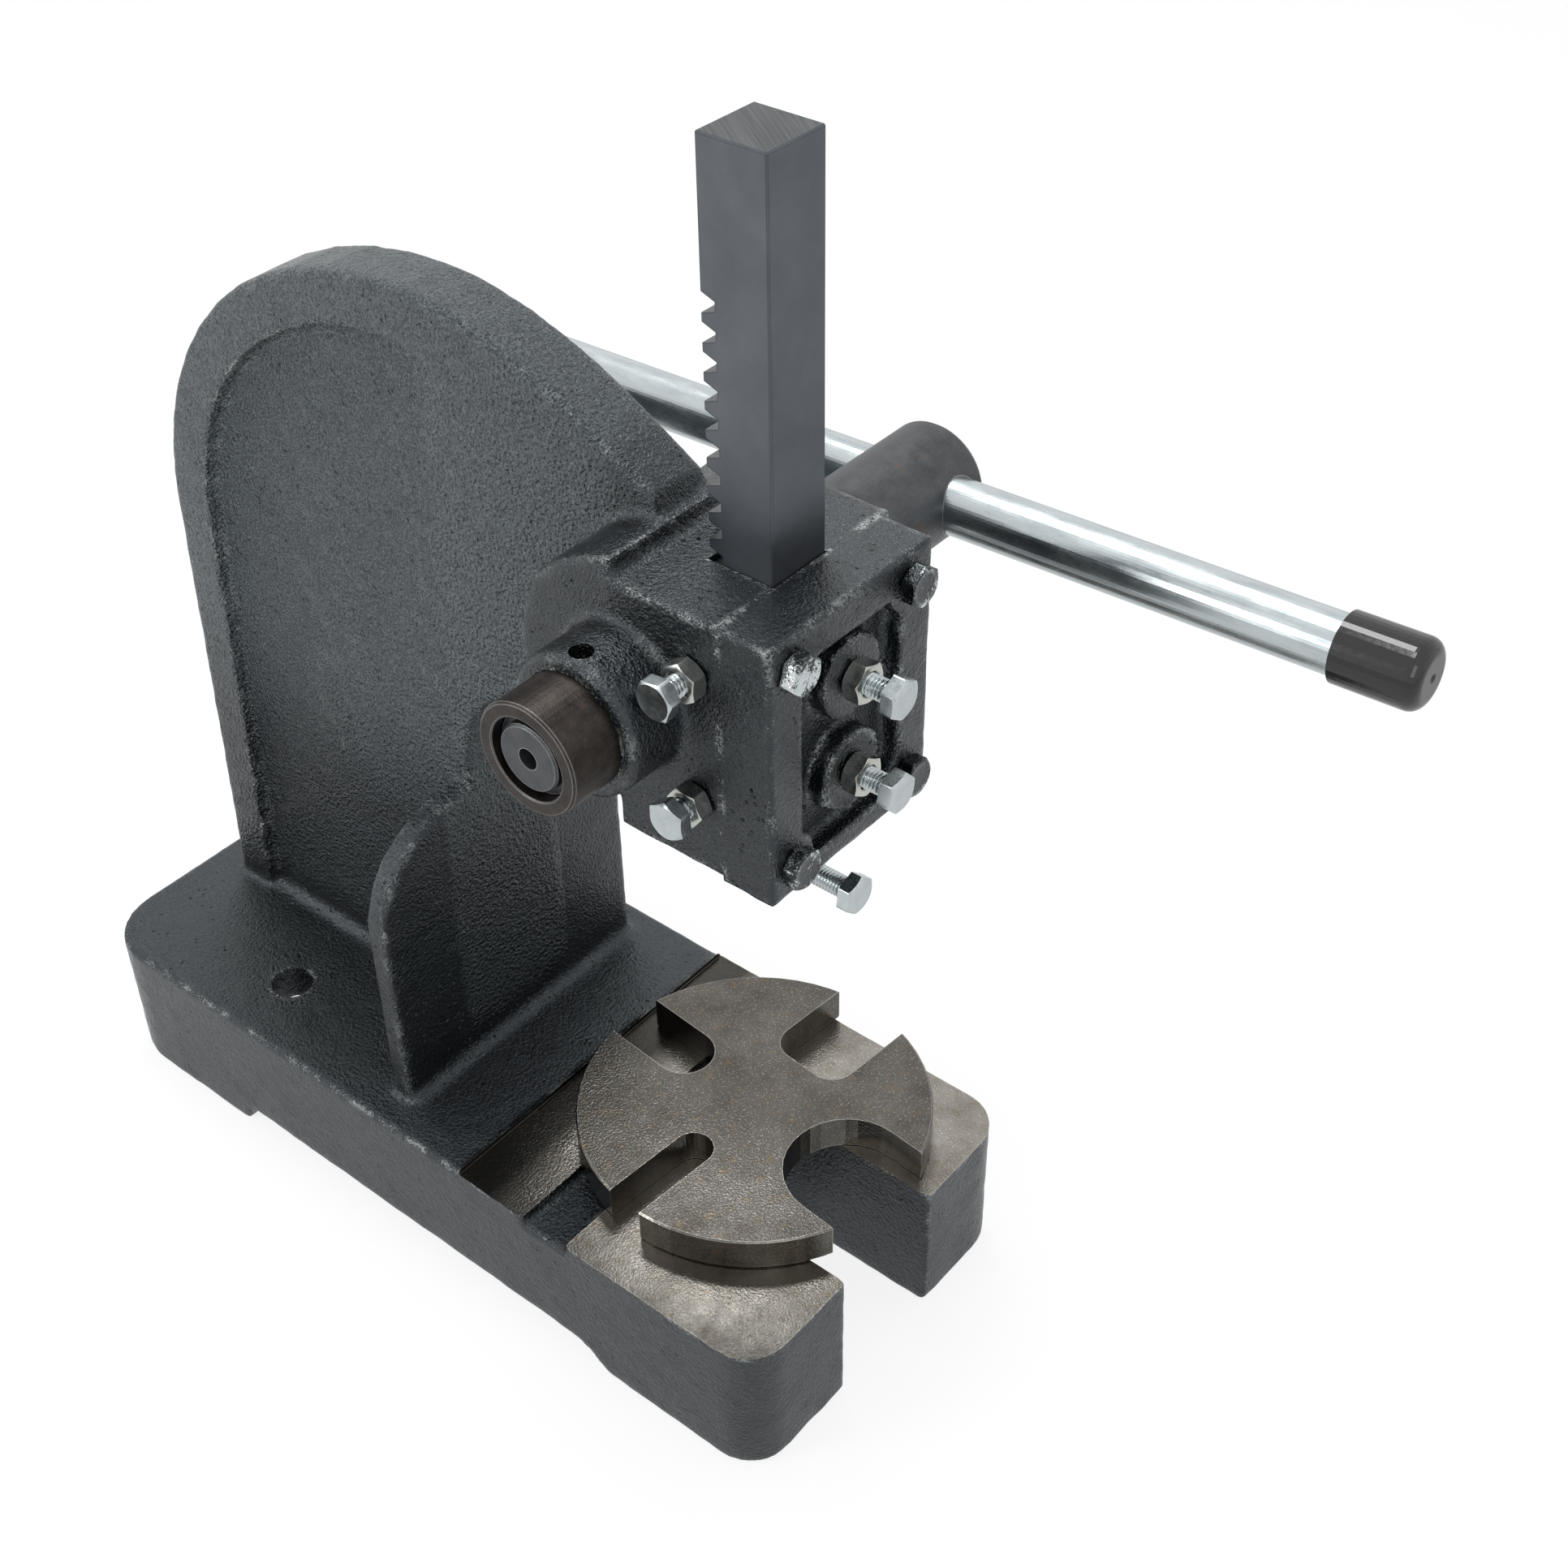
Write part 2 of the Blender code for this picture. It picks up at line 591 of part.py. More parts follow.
def frame_guides(frame):
    half = RAM_SIDE / 2 + SEAT_GAP
    low = HEAD_BOTTOM - OVERRUN
    cut(frame, box((-half, -HEAD_FACE_Y - OVERRUN, low), (half, half, HEAD_TOP + OVERRUN)))
    bore_low = -HEAD_LEFT - LEFT_BOSS_LENGTH - OVERRUN
    bore_high = HEAD_RIGHT + RIGHT_BOSS_LENGTH + OVERRUN
    cut(frame, hole(BORE_RADIUS, (PINION_Y, PINION_Z), bore_low, bore_high, "X", ROUND_STEPS))
    gib_low = GIB_CENTRE_Z - GIB_LENGTH / 2 - SEAT_GAP
    gib_high = GIB_CENTRE_Z + GIB_LENGTH / 2 + SEAT_GAP
    gib_back = -half - GIB_THICKNESS - SEAT_GAP
    cut(frame, box((gib_back, -HEAD_FACE_Y - OVERRUN, gib_low), (0, SIDE_GIB_REAR + SEAT_GAP, gib_high)))
    for z in (SIDE_ADJUSTER_LOW_Z, SIDE_ADJUSTER_HIGH_Z):
        cut(frame, hole(THREAD_RADIUS, (SIDE_ADJUSTER_Y, z), -HEAD_LEFT - OVERRUN, gib_back + SEAT_GAP, "X"))
    depth = COVER_BOLT_LENGTH - (COVER_FACE_Y - HEAD_FACE_Y) + OVERRUN
    for x in (-COVER_BOLT_X, COVER_BOLT_X):
        for z in (COVER_BOLT_LOW_Z, COVER_BOLT_HIGH_Z):
            cut(frame, hole(THREAD_RADIUS, (x, z), -HEAD_FACE_Y - OVERRUN, -HEAD_FACE_Y + depth, "Y"))
    oil_top = PINION_Z + BOSS_RADIUS + OVERRUN
    cut(frame, hole(OIL_HOLE_RADIUS, (-OIL_HOLE_X, PINION_Y), PINION_Z + SHAFT_RADIUS, oil_top, "Z"))


def press_frame(paint):
    frame = web_plate()
    for side in (-1, 1):
        cut(frame, panel_recess(side))
    joined(frame, base_block())
    joined(frame, throat_rib())
    rib_half = RIB_WIDTH / 2 - RIB_EDGE
    joined(frame, cove((RIB_FACE_Y, DECK_HEIGHT), -1, 1, FOOT_COVE, RIB_OFFSET - rib_half,
                       RIB_OFFSET + rib_half, "X"))
    web_half = WEB_WIDTH / 2 - PANEL_DEPTH
    for side in (-1, 1):
        joined(frame, cove((side * web_half, DECK_HEIGHT), side, 1, FOOT_COVE, RIB_FACE_Y + RIB_EDGE,
                           WEB_FOOT_Y - RIM_WIDTH, "Y"))
    joined(frame, drum())
    joined(frame, head_block())
    joined(frame, shaft_boss(-HEAD_LEFT - LEFT_BOSS_LENGTH, -HEAD_LEFT + OVERRUN))
    joined(frame, shaft_boss(HEAD_RIGHT - OVERRUN, HEAD_RIGHT + RIGHT_BOSS_LENGTH))
    frame_table(frame)
    frame_feet(frame)
    frame_guides(frame)
    frame.data.materials.clear()
    frame.data.materials.append(paint)
    shade(frame)
    return frame


# Front cover


def guide_cover(paint):
    bm = box((-COVER_HALF, -COVER_FACE_Y, COVER_BOTTOM), (COVER_HALF, -COVER_BACK_Y, HEAD_TOP))
    round_edges(bm, COVER_EDGE, lambda e: min(v.co.y for v in e.verts) < -COVER_BACK_Y - SEAT_GAP)
    cover = finish_object("guide_cover", bm)
    inner = COVER_HALF - COVER_RIM
    recess = rounded_box((-inner, COVER_BOTTOM + COVER_LOW_RIM), (inner, HEAD_TOP - COVER_TOP_RIM),
                         RECESS_CORNER, RECESS_CORNER)
    floor = -COVER_FACE_Y + COVER_RECESS
    cut(cover, round_edges(prism(recess, -COVER_FACE_Y - OVERRUN, floor, "Y"), RECESS_FILLET,
                           lambda e: level(e, 1, floor)))
    inside = -COVER_FACE_Y + COVER_RECESS + OVERRUN
    for x in (-COVER_BOLT_X, COVER_BOLT_X):
        for z in (COVER_BOLT_LOW_Z, COVER_BOLT_HIGH_Z):
            pad_z = min(z, HEAD_TOP - PAD_RADIUS - COVER_EDGE)
            joined(cover, hole(PAD_RADIUS, (x, pad_z), -COVER_FACE_Y + SEAT_GAP, inside, "Y"))
    for z in (FRONT_ADJUSTER_LOW_Z, FRONT_ADJUSTER_HIGH_Z):
        joined(cover, hole(ADJUSTER_BOSS_RADIUS, (0, z), -COVER_FACE_Y + SEAT_GAP, inside, "Y"))
        cut(cover, hole(THREAD_RADIUS, (0, z), -COVER_FACE_Y - OVERRUN, 0, "Y"))
    for x in (-COVER_BOLT_X, COVER_BOLT_X):
        for z in (COVER_BOLT_LOW_Z, COVER_BOLT_HIGH_Z):
            cut(cover, hole(THREAD_RADIUS, (x, z), -COVER_FACE_Y - OVERRUN, 0, "Y"))
    half = GIB_WIDTH / 2 + SEAT_GAP
    back = -RAM_SIDE / 2 - GIB_THICKNESS - 2 * SEAT_GAP
    cut(cover, box((-half, back, GIB_CENTRE_Z - GIB_LENGTH / 2 - SEAT_GAP),
                   (half, 0, GIB_CENTRE_Z + GIB_LENGTH / 2 + SEAT_GAP)))
    cover.data.materials.clear()
    cover.data.materials.append(paint)
    shade(cover)
    return cover


def gib(name, centre, size, material):
    low = [c - s / 2 for c, s in zip(centre, size)]
    high = [c + s / 2 for c, s in zip(centre, size)]
    strip = finish_object(name, box(low, high), material)
    return strip


# Screws and nuts


def hexagon(height, both_ends):
    blank = finish_object("blank", prism(circle((0, 0), HEX_REACH, HEX_SIDES), 0, height, "X"))
    low_radius = HEX_REACH - HEX_CHAMFER if both_ends else HEX_REACH + OVERRUN
    low_along = 0 if both_ends else -OVERRUN
    slope = HEX_CHAMFER * math.tan(CHAMFER_ANGLE)
    profile = [(low_along, 0), (low_along, low_radius), (slope, HEX_REACH + SEAT_GAP)]
    profile += [(height - slope, HEX_REACH + SEAT_GAP), (height, HEX_REACH - HEX_CHAMFER), (height, 0)]
    combine(blank, turned(profile, SMALL_STEPS), "INTERSECT")
    return blank


def bolt(name, length, place, turn, material):
    # Local +X is the way the head faces, and X 0 is the underside of the head
    screw = hexagon(SCREW_HEAD_HEIGHT, False)
    screw.name = name
    screw.data.name = name
    tip = SCREW_RADIUS - HEX_CHAMFER
    shank = [(-length, 0), (-length, tip), (-length + HEX_CHAMFER, SCREW_RADIUS)]
    shank += [(SCREW_HEAD_HEIGHT / 2, SCREW_RADIUS), (SCREW_HEAD_HEIGHT / 2, 0)]
    joined(screw, turned(shank, SMALL_STEPS))
    screw.data.materials.clear()
    screw.data.materials.append(material)
    shade(screw)
    screw.matrix_world = place @ Matrix.Rotation(turn, 4, "X")
    return screw


def nut(name, place, turn, material):
    body = hexagon(NUT_HEIGHT, True)
    body.name = name
    body.data.name = name
    profile = [(-OVERRUN, 0), (-OVERRUN, THREAD_RADIUS), (NUT_HEIGHT + OVERRUN, THREAD_RADIUS)]
    profile += [(NUT_HEIGHT + OVERRUN, 0)]
    cut(body, turned(profile, SMALL_STEPS))
    body.data.materials.clear()
    body.data.materials.append(material)
    shade(body)
    body.matrix_world = place @ Matrix.Rotation(turn, 4, "X")
    return body


def facing_front(x, y, z):
    return Matrix.Translation((x, y, z)) @ Matrix.Rotation(-math.pi / 2, 4, "Z")


def facing_left(x, y, z):
    return Matrix.Translation((x, y, z)) @ Matrix.Rotation(math.pi, 4, "Z")


def cover_fasteners(painted, zinc):
    number = 1
    for z in (COVER_BOLT_HIGH_Z, COVER_BOLT_LOW_Z):
        for x in (-COVER_BOLT_X, COVER_BOLT_X):
            place = facing_front(x, -COVER_FACE_Y - SEAT_GAP, z)
            bolt("cover_bolt_%d" % number, COVER_BOLT_LENGTH, place, number * COVER_BOLT_TURN, painted)
            number += 1
    gib_front = RAM_SIDE / 2 + GIB_THICKNESS + SEAT_GAP
    for label, z, turn in (("upper", FRONT_ADJUSTER_HIGH_Z, FRONT_HIGH_TURN),
                           ("lower", FRONT_ADJUSTER_LOW_Z, FRONT_LOW_TURN)):
        under = COVER_FACE_Y + FRONT_ADJUSTER_REACH - SCREW_HEAD_HEIGHT
        bolt("front_adjuster_" + label, under - gib_front - SEAT_GAP, facing_front(0, -under, z),
             turn, zinc)
        nut("front_lock_nut_" + label, facing_front(0, -COVER_FACE_Y - SEAT_GAP, z),
            turn + FRONT_NUT_TURN, zinc)


def side_fasteners(zinc):
    gib_back = RAM_SIDE / 2 + SEAT_GAP + GIB_THICKNESS
    for label, z, reach, turn in (("upper", SIDE_ADJUSTER_HIGH_Z, SIDE_HIGH_REACH, SIDE_HIGH_TURN),
                                  ("lower", SIDE_ADJUSTER_LOW_Z, SIDE_LOW_REACH, SIDE_LOW_TURN)):
        under = HEAD_LEFT + reach - SCREW_HEAD_HEIGHT
        bolt("side_adjuster_" + label, under - gib_back - SEAT_GAP, facing_left(-under, SIDE_ADJUSTER_Y, z),
             turn, zinc)
        nut("side_lock_nut_" + label, facing_left(-HEAD_LEFT - SEAT_GAP, SIDE_ADJUSTER_Y, z),
            turn + SIDE_NUT_TURN, zinc)


# Ram with its rack


def rack_gap(z):
    half = PITCH / 4 + TOOTH_PLAY / 2
    face = RAM_SIDE / 2
    slope = math.tan(PRESSURE_ANGLE)
    mouth = half + (TIP_HEIGHT + OVERRUN) * slope
    floor = half - ROOT_DEPTH * slope
    pitch_y = face - TIP_HEIGHT
    outline = [(pitch_y - ROOT_DEPTH, z - floor), (face + OVERRUN, z - mouth),
               (face + OVERRUN, z + mouth), (pitch_y - ROOT_DEPTH, z + floor)]
    side = RAM_SIDE / 2 + OVERRUN
    return prism(outline, -side, side, "X")


def ram(steel):
    half = RAM_SIDE / 2
    bm = round_edges(box((-half, -half, RAM_BOTTOM), (half, half, RAM_TOP)), RAM_EDGE, steps=1)
    body = finish_object("ram", bm)
    for i in range(RACK_GAPS):
        cut(body, rack_gap(RACK_TOP - i * PITCH))
    cut(body, hole(TOOL_BORE_RADIUS, (0, 0), RAM_BOTTOM - OVERRUN, RAM_BOTTOM + TOOL_BORE_DEPTH, "Z"))
    cut(body, hole(THREAD_RADIUS, (0, CLAMP_Z), -half - OVERRUN, 0, "Y"))
    body.data.materials.clear()
    body.data.materials.append(steel)
    body.data.set_sharp_from_angle(angle=SHARP_ANGLE)
    return body


def ram_clamp_screw(zinc):
    under = RAM_SIDE / 2 + CLAMP_REACH - SCREW_HEAD_HEIGHT
    length = under - TOOL_BORE_RADIUS - CLAMP_TIP_GAP
    return bolt("ram_clamp_screw", length, facing_front(0, -under, CLAMP_Z), CLAMP_TURN, zinc)


# Pinion shaft


def tooth_half_angle(radius):
    # Largest half angle that a point at this radius may have and still clear the rack as it rolls
    slope = math.tan(PRESSURE_ANGLE)
    low = 0
    high = math.pi / PINION_TEETH
    for _ in range(HALVINGS):
        angle = (low + high) / 2
        clear = True
        for i in range(-ROLL_STEPS, ROLL_STEPS + 1):
            roll = i * ROLL_STEP
            toward = radius * math.cos(roll + angle) - PITCH_RADIUS
            offset = abs(radius * math.sin(roll + angle) - PITCH_RADIUS * roll)
            if toward > -TIP_HEIGHT and offset > PITCH / 4 - toward * slope:
                clear = False
        if clear:
            low = angle
        else:
            high = angle
    return low


def pinion_outline():
    root = PITCH_RADIUS - ROOT_DEPTH
    tip = PITCH_RADIUS + TIP_HEIGHT
    radii = [root + (tip - root) * i / FLANK_STEPS for i in range(FLANK_STEPS + 1)]
    flank = [(r, min(tooth_half_angle(r), math.pi / PINION_TEETH * TOOTH_SPACE_SHARE)) for r in radii]
    phase = math.pi - (rack_phase() / PITCH_RADIUS)
    outline = []
    for tooth in range(PINION_TEETH):
        middle = phase + 2 * math.pi * tooth / PINION_TEETH
        outline += [(r * math.cos(middle - a), r * math.sin(middle - a)) for r, a in flank]
        outline += [(r * math.cos(middle + a), r * math.sin(middle + a)) for r, a in reversed(flank)]
    return outline


def rack_phase():
    # Height above the shaft of the rack gap that is nearest to it
    steps = round((RACK_TOP - PINION_Z) / PITCH)
    return RACK_TOP - steps * PITCH - PINION_Z


def pinion_shaft(oxide):
    end = -HEAD_LEFT - LEFT_BOSS_LENGTH - BUSH_REACH + SHAFT_SETBACK
    ring = end + MOUTH_DEPTH - SHAFT_SETBACK - RING_THICKNESS - SEAT_GAP
    low = ring - (GROOVE_WIDTH - RING_THICKNESS) / 2
    shoulder = HEAD_RIGHT + RIGHT_BOSS_LENGTH + SEAT_GAP
    profile = [(end + CENTRE_DEPTH, 0), (end + CENTRE_DEPTH - CENTRE_RADIUS / 2, CENTRE_RADIUS)]
    profile += [(end, CENTRE_RADIUS)]
    profile += [(end, JOURNAL_RADIUS - BUSH_EDGE), (end + BUSH_EDGE, JOURNAL_RADIUS)]
    profile += [(low, JOURNAL_RADIUS), (low, GROOVE_RADIUS), (low + GROOVE_WIDTH, GROOVE_RADIUS)]
    profile += [(low + GROOVE_WIDTH, JOURNAL_RADIUS), (TOOTH_HALF, JOURNAL_RADIUS)]
    profile += [(TOOTH_HALF, SHAFT_RADIUS), (shoulder, SHAFT_RADIUS), (shoulder, HUB_RADIUS)]
    profile += [(HUB_END_X - HUB_EDGE, HUB_RADIUS), (HUB_END_X - HUB_EDGE / 4, HUB_RADIUS - HUB_EDGE / 2)]
    profile += [(HUB_END_X, HUB_RADIUS - HUB_EDGE), (HUB_END_X, 0)]
    shaft = finish_object("pinion_shaft", turned(profile))
    joined(shaft, prism(pinion_outline(), -TOOTH_HALF, TOOTH_HALF + OVERRUN, "X"))
    lever_hole = hole(LEVER_RADIUS + RUNNING_GAP, (0, 0), -HUB_RADIUS - OVERRUN, HUB_RADIUS + OVERRUN, "X",
                      ROUND_STEPS)
    cut(shaft, lever_hole, Matrix.Translation((LEVER_X, 0, 0)) @ lever_direction())
    shaft.data.materials.clear()
    shaft.data.materials.append(oxide)
    shade(shaft)
    shaft.location = (0, PINION_Y, PINION_Z)
    return shaft


def pinion_bush(oxide):
    end = -HEAD_LEFT - LEFT_BOSS_LENGTH - BUSH_REACH
    inner = -TOOTH_HALF - SEAT_GAP
    bore = JOURNAL_RADIUS + RUNNING_GAP
    profile = [(end, MOUTH_RADIUS + BUSH_EDGE / 2), (end, SHAFT_RADIUS - BUSH_EDGE)]
    profile += [(end + BUSH_EDGE, SHAFT_RADIUS), (inner, SHAFT_RADIUS), (inner, bore)]
    profile += [(end + MOUTH_DEPTH, bore), (end + MOUTH_DEPTH, MOUTH_RADIUS)]
    profile += [(end + BUSH_EDGE / 2, MOUTH_RADIUS)]
    bush = finish_object("pinion_bush", turned(profile), oxide)
    shade(bush)
    bush.location = (0, PINION_Y, PINION_Z)
    return bush


def shaft_ring(spring_steel):
    low = -HEAD_LEFT - LEFT_BOSS_LENGTH - BUSH_REACH + MOUTH_DEPTH - RING_THICKNESS - SEAT_GAP
    profile = [(low, RING_INNER), (low, RING_OUTER)]
    profile += [(low + RING_THICKNESS, RING_OUTER), (low + RING_THICKNESS, RING_INNER)]
    ring = finish_object("shaft_ring", turned(profile))
    half = RING_SPLIT / 2
    cut(ring, box((low - OVERRUN, -half, -RING_OUTER - OVERRUN), (low + OVERRUN, half, 0)))
    ring.data.materials.clear()
    ring.data.materials.append(spring_steel)
    shade(ring)
    ring.location = (0, PINION_Y, PINION_Z)
    return ring


# Lever


def lever_direction():
    # Turns local +X to the lever's front end, which points forward and a little up
    return Matrix.Rotation(-LEVER_TILT, 4, "X") @ Matrix.Rotation(-math.pi / 2, 4, "Z")


def lever_place():
    return Matrix.Translation((LEVER_X, PINION_Y, PINION_Z)) @ lever_direction()


def lever_bar(zinc):
    profile = [(-LEVER_REAR, 0), (-LEVER_REAR, LEVER_RADIUS - LEVER_EDGE)]
    profile += [(-LEVER_REAR + LEVER_EDGE, LEVER_RADIUS), (LEVER_FRONT - LEVER_EDGE, LEVER_RADIUS)]
    profile += [(LEVER_FRONT, LEVER_RADIUS - LEVER_EDGE), (LEVER_FRONT, 0)]
    bar = finish_object("lever_bar", turned(profile), zinc)
    shade(bar)
    bar.matrix_world = lever_place()
    return bar


def lever_cap(name, reach, turn, vinyl):
    outer = LEVER_RADIUS + SEAT_GAP + CAP_WALL
    inner = LEVER_RADIUS + SEAT_GAP
    end = reach + SEAT_GAP + CAP_END
    mouth = end - CAP_LENGTH
    profile = [(reach + SEAT_GAP, 0), (reach + SEAT_GAP, inner), (mouth, inner), (mouth, outer)]
    for x, r in arc((end - CAP_ROUND, outer - CAP_ROUND), CAP_ROUND, 90, 0, CORNER_STEPS):
        profile.append((x, r))
    profile += [(end, CAP_DIMPLE_RADIUS), (end - CAP_DIMPLE_DEPTH, CAP_DIMPLE_RADIUS / 2)]
    profile += [(end - CAP_DIMPLE_DEPTH, 0)]
    cap = finish_object(name, turned(profile, CAP_FACETS), vinyl)
    shade(cap)
    cap.matrix_world = lever_place() @ Matrix.Rotation(turn, 4, "Z")
    return cap


# Anvil plate


def slot_outline(width, centre, reach):
    half = width / 2
    outline = arc((centre, 0), half, 90, 270, 2 * CORNER_STEPS)
    return outline + [(reach, -half), (reach, half)]


def anvil_plate(ground_iron):
    bottom = TABLE_HEIGHT + SEAT_GAP
    reach = ANVIL_RADIUS + OVERRUN
    disc = prism(circle((0, 0), ANVIL_RADIUS, ROUND_STEPS), 0, ANVIL_TOP - bottom, "Z")
    round_edges(disc, ANVIL_EDGE, steps=1)
    plate = finish_object("anvil_plate", disc)
    side_half = SIDE_SLOT / 2
    side = arc((SIDE_SLOT_END + SIDE_SLOT_CORNER, side_half - SIDE_SLOT_CORNER), SIDE_SLOT_CORNER,
               90, 180, CORNER_STEPS)
    side += arc((SIDE_SLOT_END + SIDE_SLOT_CORNER, SIDE_SLOT_CORNER - side_half), SIDE_SLOT_CORNER,
                180, 270, CORNER_STEPS)
    side += [(reach, -side_half), (reach, side_half)]
    slots = [(side, 0), (slot_outline(REAR_SLOT, REAR_SLOT_CENTRE, reach), 90),
             (slot_outline(SMALL_SLOT, SMALL_SLOT_CENTRE, reach), 180),
             (slot_outline(WIDE_SLOT, WIDE_SLOT_CENTRE, reach), 270)]
    for outline, angle in slots:
        tool = prism(outline, -OVERRUN, ANVIL_TOP - bottom + OVERRUN, "Z")
        cut(plate, tool, Matrix.Rotation(math.radians(angle), 4, "Z"))
    plate.data.materials.clear()
    plate.data.materials.append(ground_iron)
    shade(plate)
    plate.location = (ANVIL_X, ANVIL_Y, bottom)
    plate.rotation_euler = (0, 0, ANVIL_TURN)
    return plate


# Assembly

for existing in list(bpy.data.objects):
    bpy.data.objects.remove(existing)

black_paint = surface("black_paint", (0.022, 0.024, 0.028), 0.38, 0.0)
ram_steel = surface("ram_steel", (0.085, 0.092, 0.105), 0.42, 0.85)
oxide_steel = surface("oxide_steel", (0.060, 0.050, 0.046), 0.45, 0.8)
zinc_plate = surface("zinc_plate", (0.62, 0.65, 0.66), 0.26, 1.0)
gib_steel = surface("gib_steel", (0.30, 0.30, 0.30), 0.4, 1.0)
ground_iron = surface("ground_iron", (0.20, 0.185, 0.16), 0.48, 0.8)
black_vinyl = surface("black_vinyl", (0.010, 0.010, 0.011), 0.22, 0.0)

press_frame(black_paint)
guide_cover(black_paint)
gib("front_gib", (0, -RAM_SIDE / 2 - SEAT_GAP - GIB_THICKNESS / 2, GIB_CENTRE_Z),
    (GIB_WIDTH, GIB_THICKNESS, GIB_LENGTH), gib_steel)
gib("side_gib",
    (-RAM_SIDE / 2 - SEAT_GAP - GIB_THICKNESS / 2, (SIDE_GIB_REAR - RAM_SIDE / 2) / 2, GIB_CENTRE_Z),
    (GIB_THICKNESS, SIDE_GIB_REAR + RAM_SIDE / 2, GIB_LENGTH), gib_steel)
cover_fasteners(black_paint, zinc_plate)
side_fasteners(zinc_plate)
ram(ram_steel)
ram_clamp_screw(zinc_plate)
pinion_shaft(oxide_steel)
pinion_bush(oxide_steel)
shaft_ring(gib_steel)
lever_bar(zinc_plate)
lever_cap("lever_cap_front", LEVER_FRONT, 0, black_vinyl)
lever_cap("lever_cap_rear", LEVER_REAR, math.pi, black_vinyl)
anvil_plate(ground_iron)

for piece in bpy.data.objects:
    piece.location.y -= ORIGIN_Y
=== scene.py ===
import math

import bmesh
import bpy
from mathutils import Matrix, Vector, noise


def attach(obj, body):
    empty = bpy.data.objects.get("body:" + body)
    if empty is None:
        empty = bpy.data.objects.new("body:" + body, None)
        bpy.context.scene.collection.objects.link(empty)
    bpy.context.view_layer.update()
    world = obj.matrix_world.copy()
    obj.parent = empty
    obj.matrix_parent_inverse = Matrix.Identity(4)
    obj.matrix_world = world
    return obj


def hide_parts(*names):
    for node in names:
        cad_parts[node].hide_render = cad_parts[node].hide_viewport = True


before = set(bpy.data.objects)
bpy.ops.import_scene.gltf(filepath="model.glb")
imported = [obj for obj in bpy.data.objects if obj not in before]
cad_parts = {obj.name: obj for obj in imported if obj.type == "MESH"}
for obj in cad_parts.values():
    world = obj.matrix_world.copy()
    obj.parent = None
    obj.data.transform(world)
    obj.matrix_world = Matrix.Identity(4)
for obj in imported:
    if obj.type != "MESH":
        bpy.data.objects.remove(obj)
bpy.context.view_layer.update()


# The photographer's stand: a camera looking down on the press from its left front corner, on a
# white sweep under a tent of white cloth, with one long lamp above and weak ones in front and behind.

camera_data = bpy.data.cameras.new("camera")
camera_data.sensor_width = 36
camera_data.lens = 50.38
camera_data.clip_start = 0.01
camera_data.clip_end = 20
camera = bpy.data.objects.new("camera", camera_data)
camera.matrix_world = Matrix((
    (0.62899, 0.49563, -0.59894, -0.435084),
    (-0.77736, 0.39145, -0.49243, -0.674155),
    (-0.00961, 0.77532, 0.63150, 0.720749),
    (0, 0, 0, 1),
))
bpy.context.collection.objects.link(camera)
bpy.context.scene.camera = camera
bpy.context.scene.view_settings.view_transform = "Standard"


def add(tree, kind, inputs={}, **settings):
    """One shader node: its settings, then its inputs by name or number. Gives the node."""
    made = tree.nodes.new(kind)
    for key, value in settings.items():
        setattr(made, key, value)
    for key, value in inputs.items():
        if isinstance(value, bpy.types.Node):
            value = value.outputs[0]
        if isinstance(value, bpy.types.NodeSocket):
            tree.links.new(value, made.inputs[key])
        else:
            made.inputs[key].default_value = value
    return made


def calc(tree, operation, *values):
    return add(tree, "ShaderNodeMath", dict(enumerate(values)), operation=operation)


def emptied(holder):
    holder.use_nodes = True
    holder.node_tree.nodes.clear()
    return holder.node_tree


def seen_directly(tree):
    path = add(tree, "ShaderNodeLightPath").outputs
    straight = calc(tree, "MAXIMUM", path["Is Camera Ray"], path["Is Glossy Ray"])
    return calc(tree, "MAXIMUM", straight, path["Is Transmission Ray"])


def glowing_paper(tree, white, strength):
    paper = add(tree, "ShaderNodeBsdfDiffuse", {"Color": (white, white, white, 1)})
    glow = add(tree, "ShaderNodeEmission", {"Color": (1, 1, 1, 1), "Strength": strength})
    return add(tree, "ShaderNodeAddShader", {0: paper, 1: glow})


sweep_finish = bpy.data.materials.new("white_sweep")
tree = emptied(sweep_finish)
mirrored = add(tree, "ShaderNodeLightPath").outputs["Is Glossy Ray"]
seen = add(tree, "ShaderNodeMixShader", {0: mirrored, 1: glowing_paper(tree, 0.20, 0.84),
                                         2: glowing_paper(tree, 0.36, 0.50)})
cloth = add(tree, "ShaderNodeMixShader", {0: seen_directly(tree), 1: glowing_paper(tree, 0.80, 0.0),
                                          2: seen})
add(tree, "ShaderNodeOutputMaterial", {"Surface": cloth})

bm = bmesh.new()
bmesh.ops.create_grid(bm, x_segments=1, y_segments=1, size=6)
sweep_mesh = bpy.data.meshes.new("white_sweep")
bm.to_mesh(sweep_mesh)
bm.free()
sweep_mesh.materials.append(sweep_finish)
sweep = bpy.data.objects.new("white_sweep", sweep_mesh)
bpy.context.collection.objects.link(sweep)

tent = bpy.data.worlds.new("white_tent")
bpy.context.scene.world = tent
tree = emptied(tent)
level = add(tree, "ShaderNodeMapRange", {"Value": seen_directly(tree), "To Min": 0.62, "To Max": 1.0})
tent_cloth = add(tree, "ShaderNodeBackground", {"Color": (1, 1, 1, 1), "Strength": level})
add(tree, "ShaderNodeOutputWorld", {"Surface": tent_cloth})


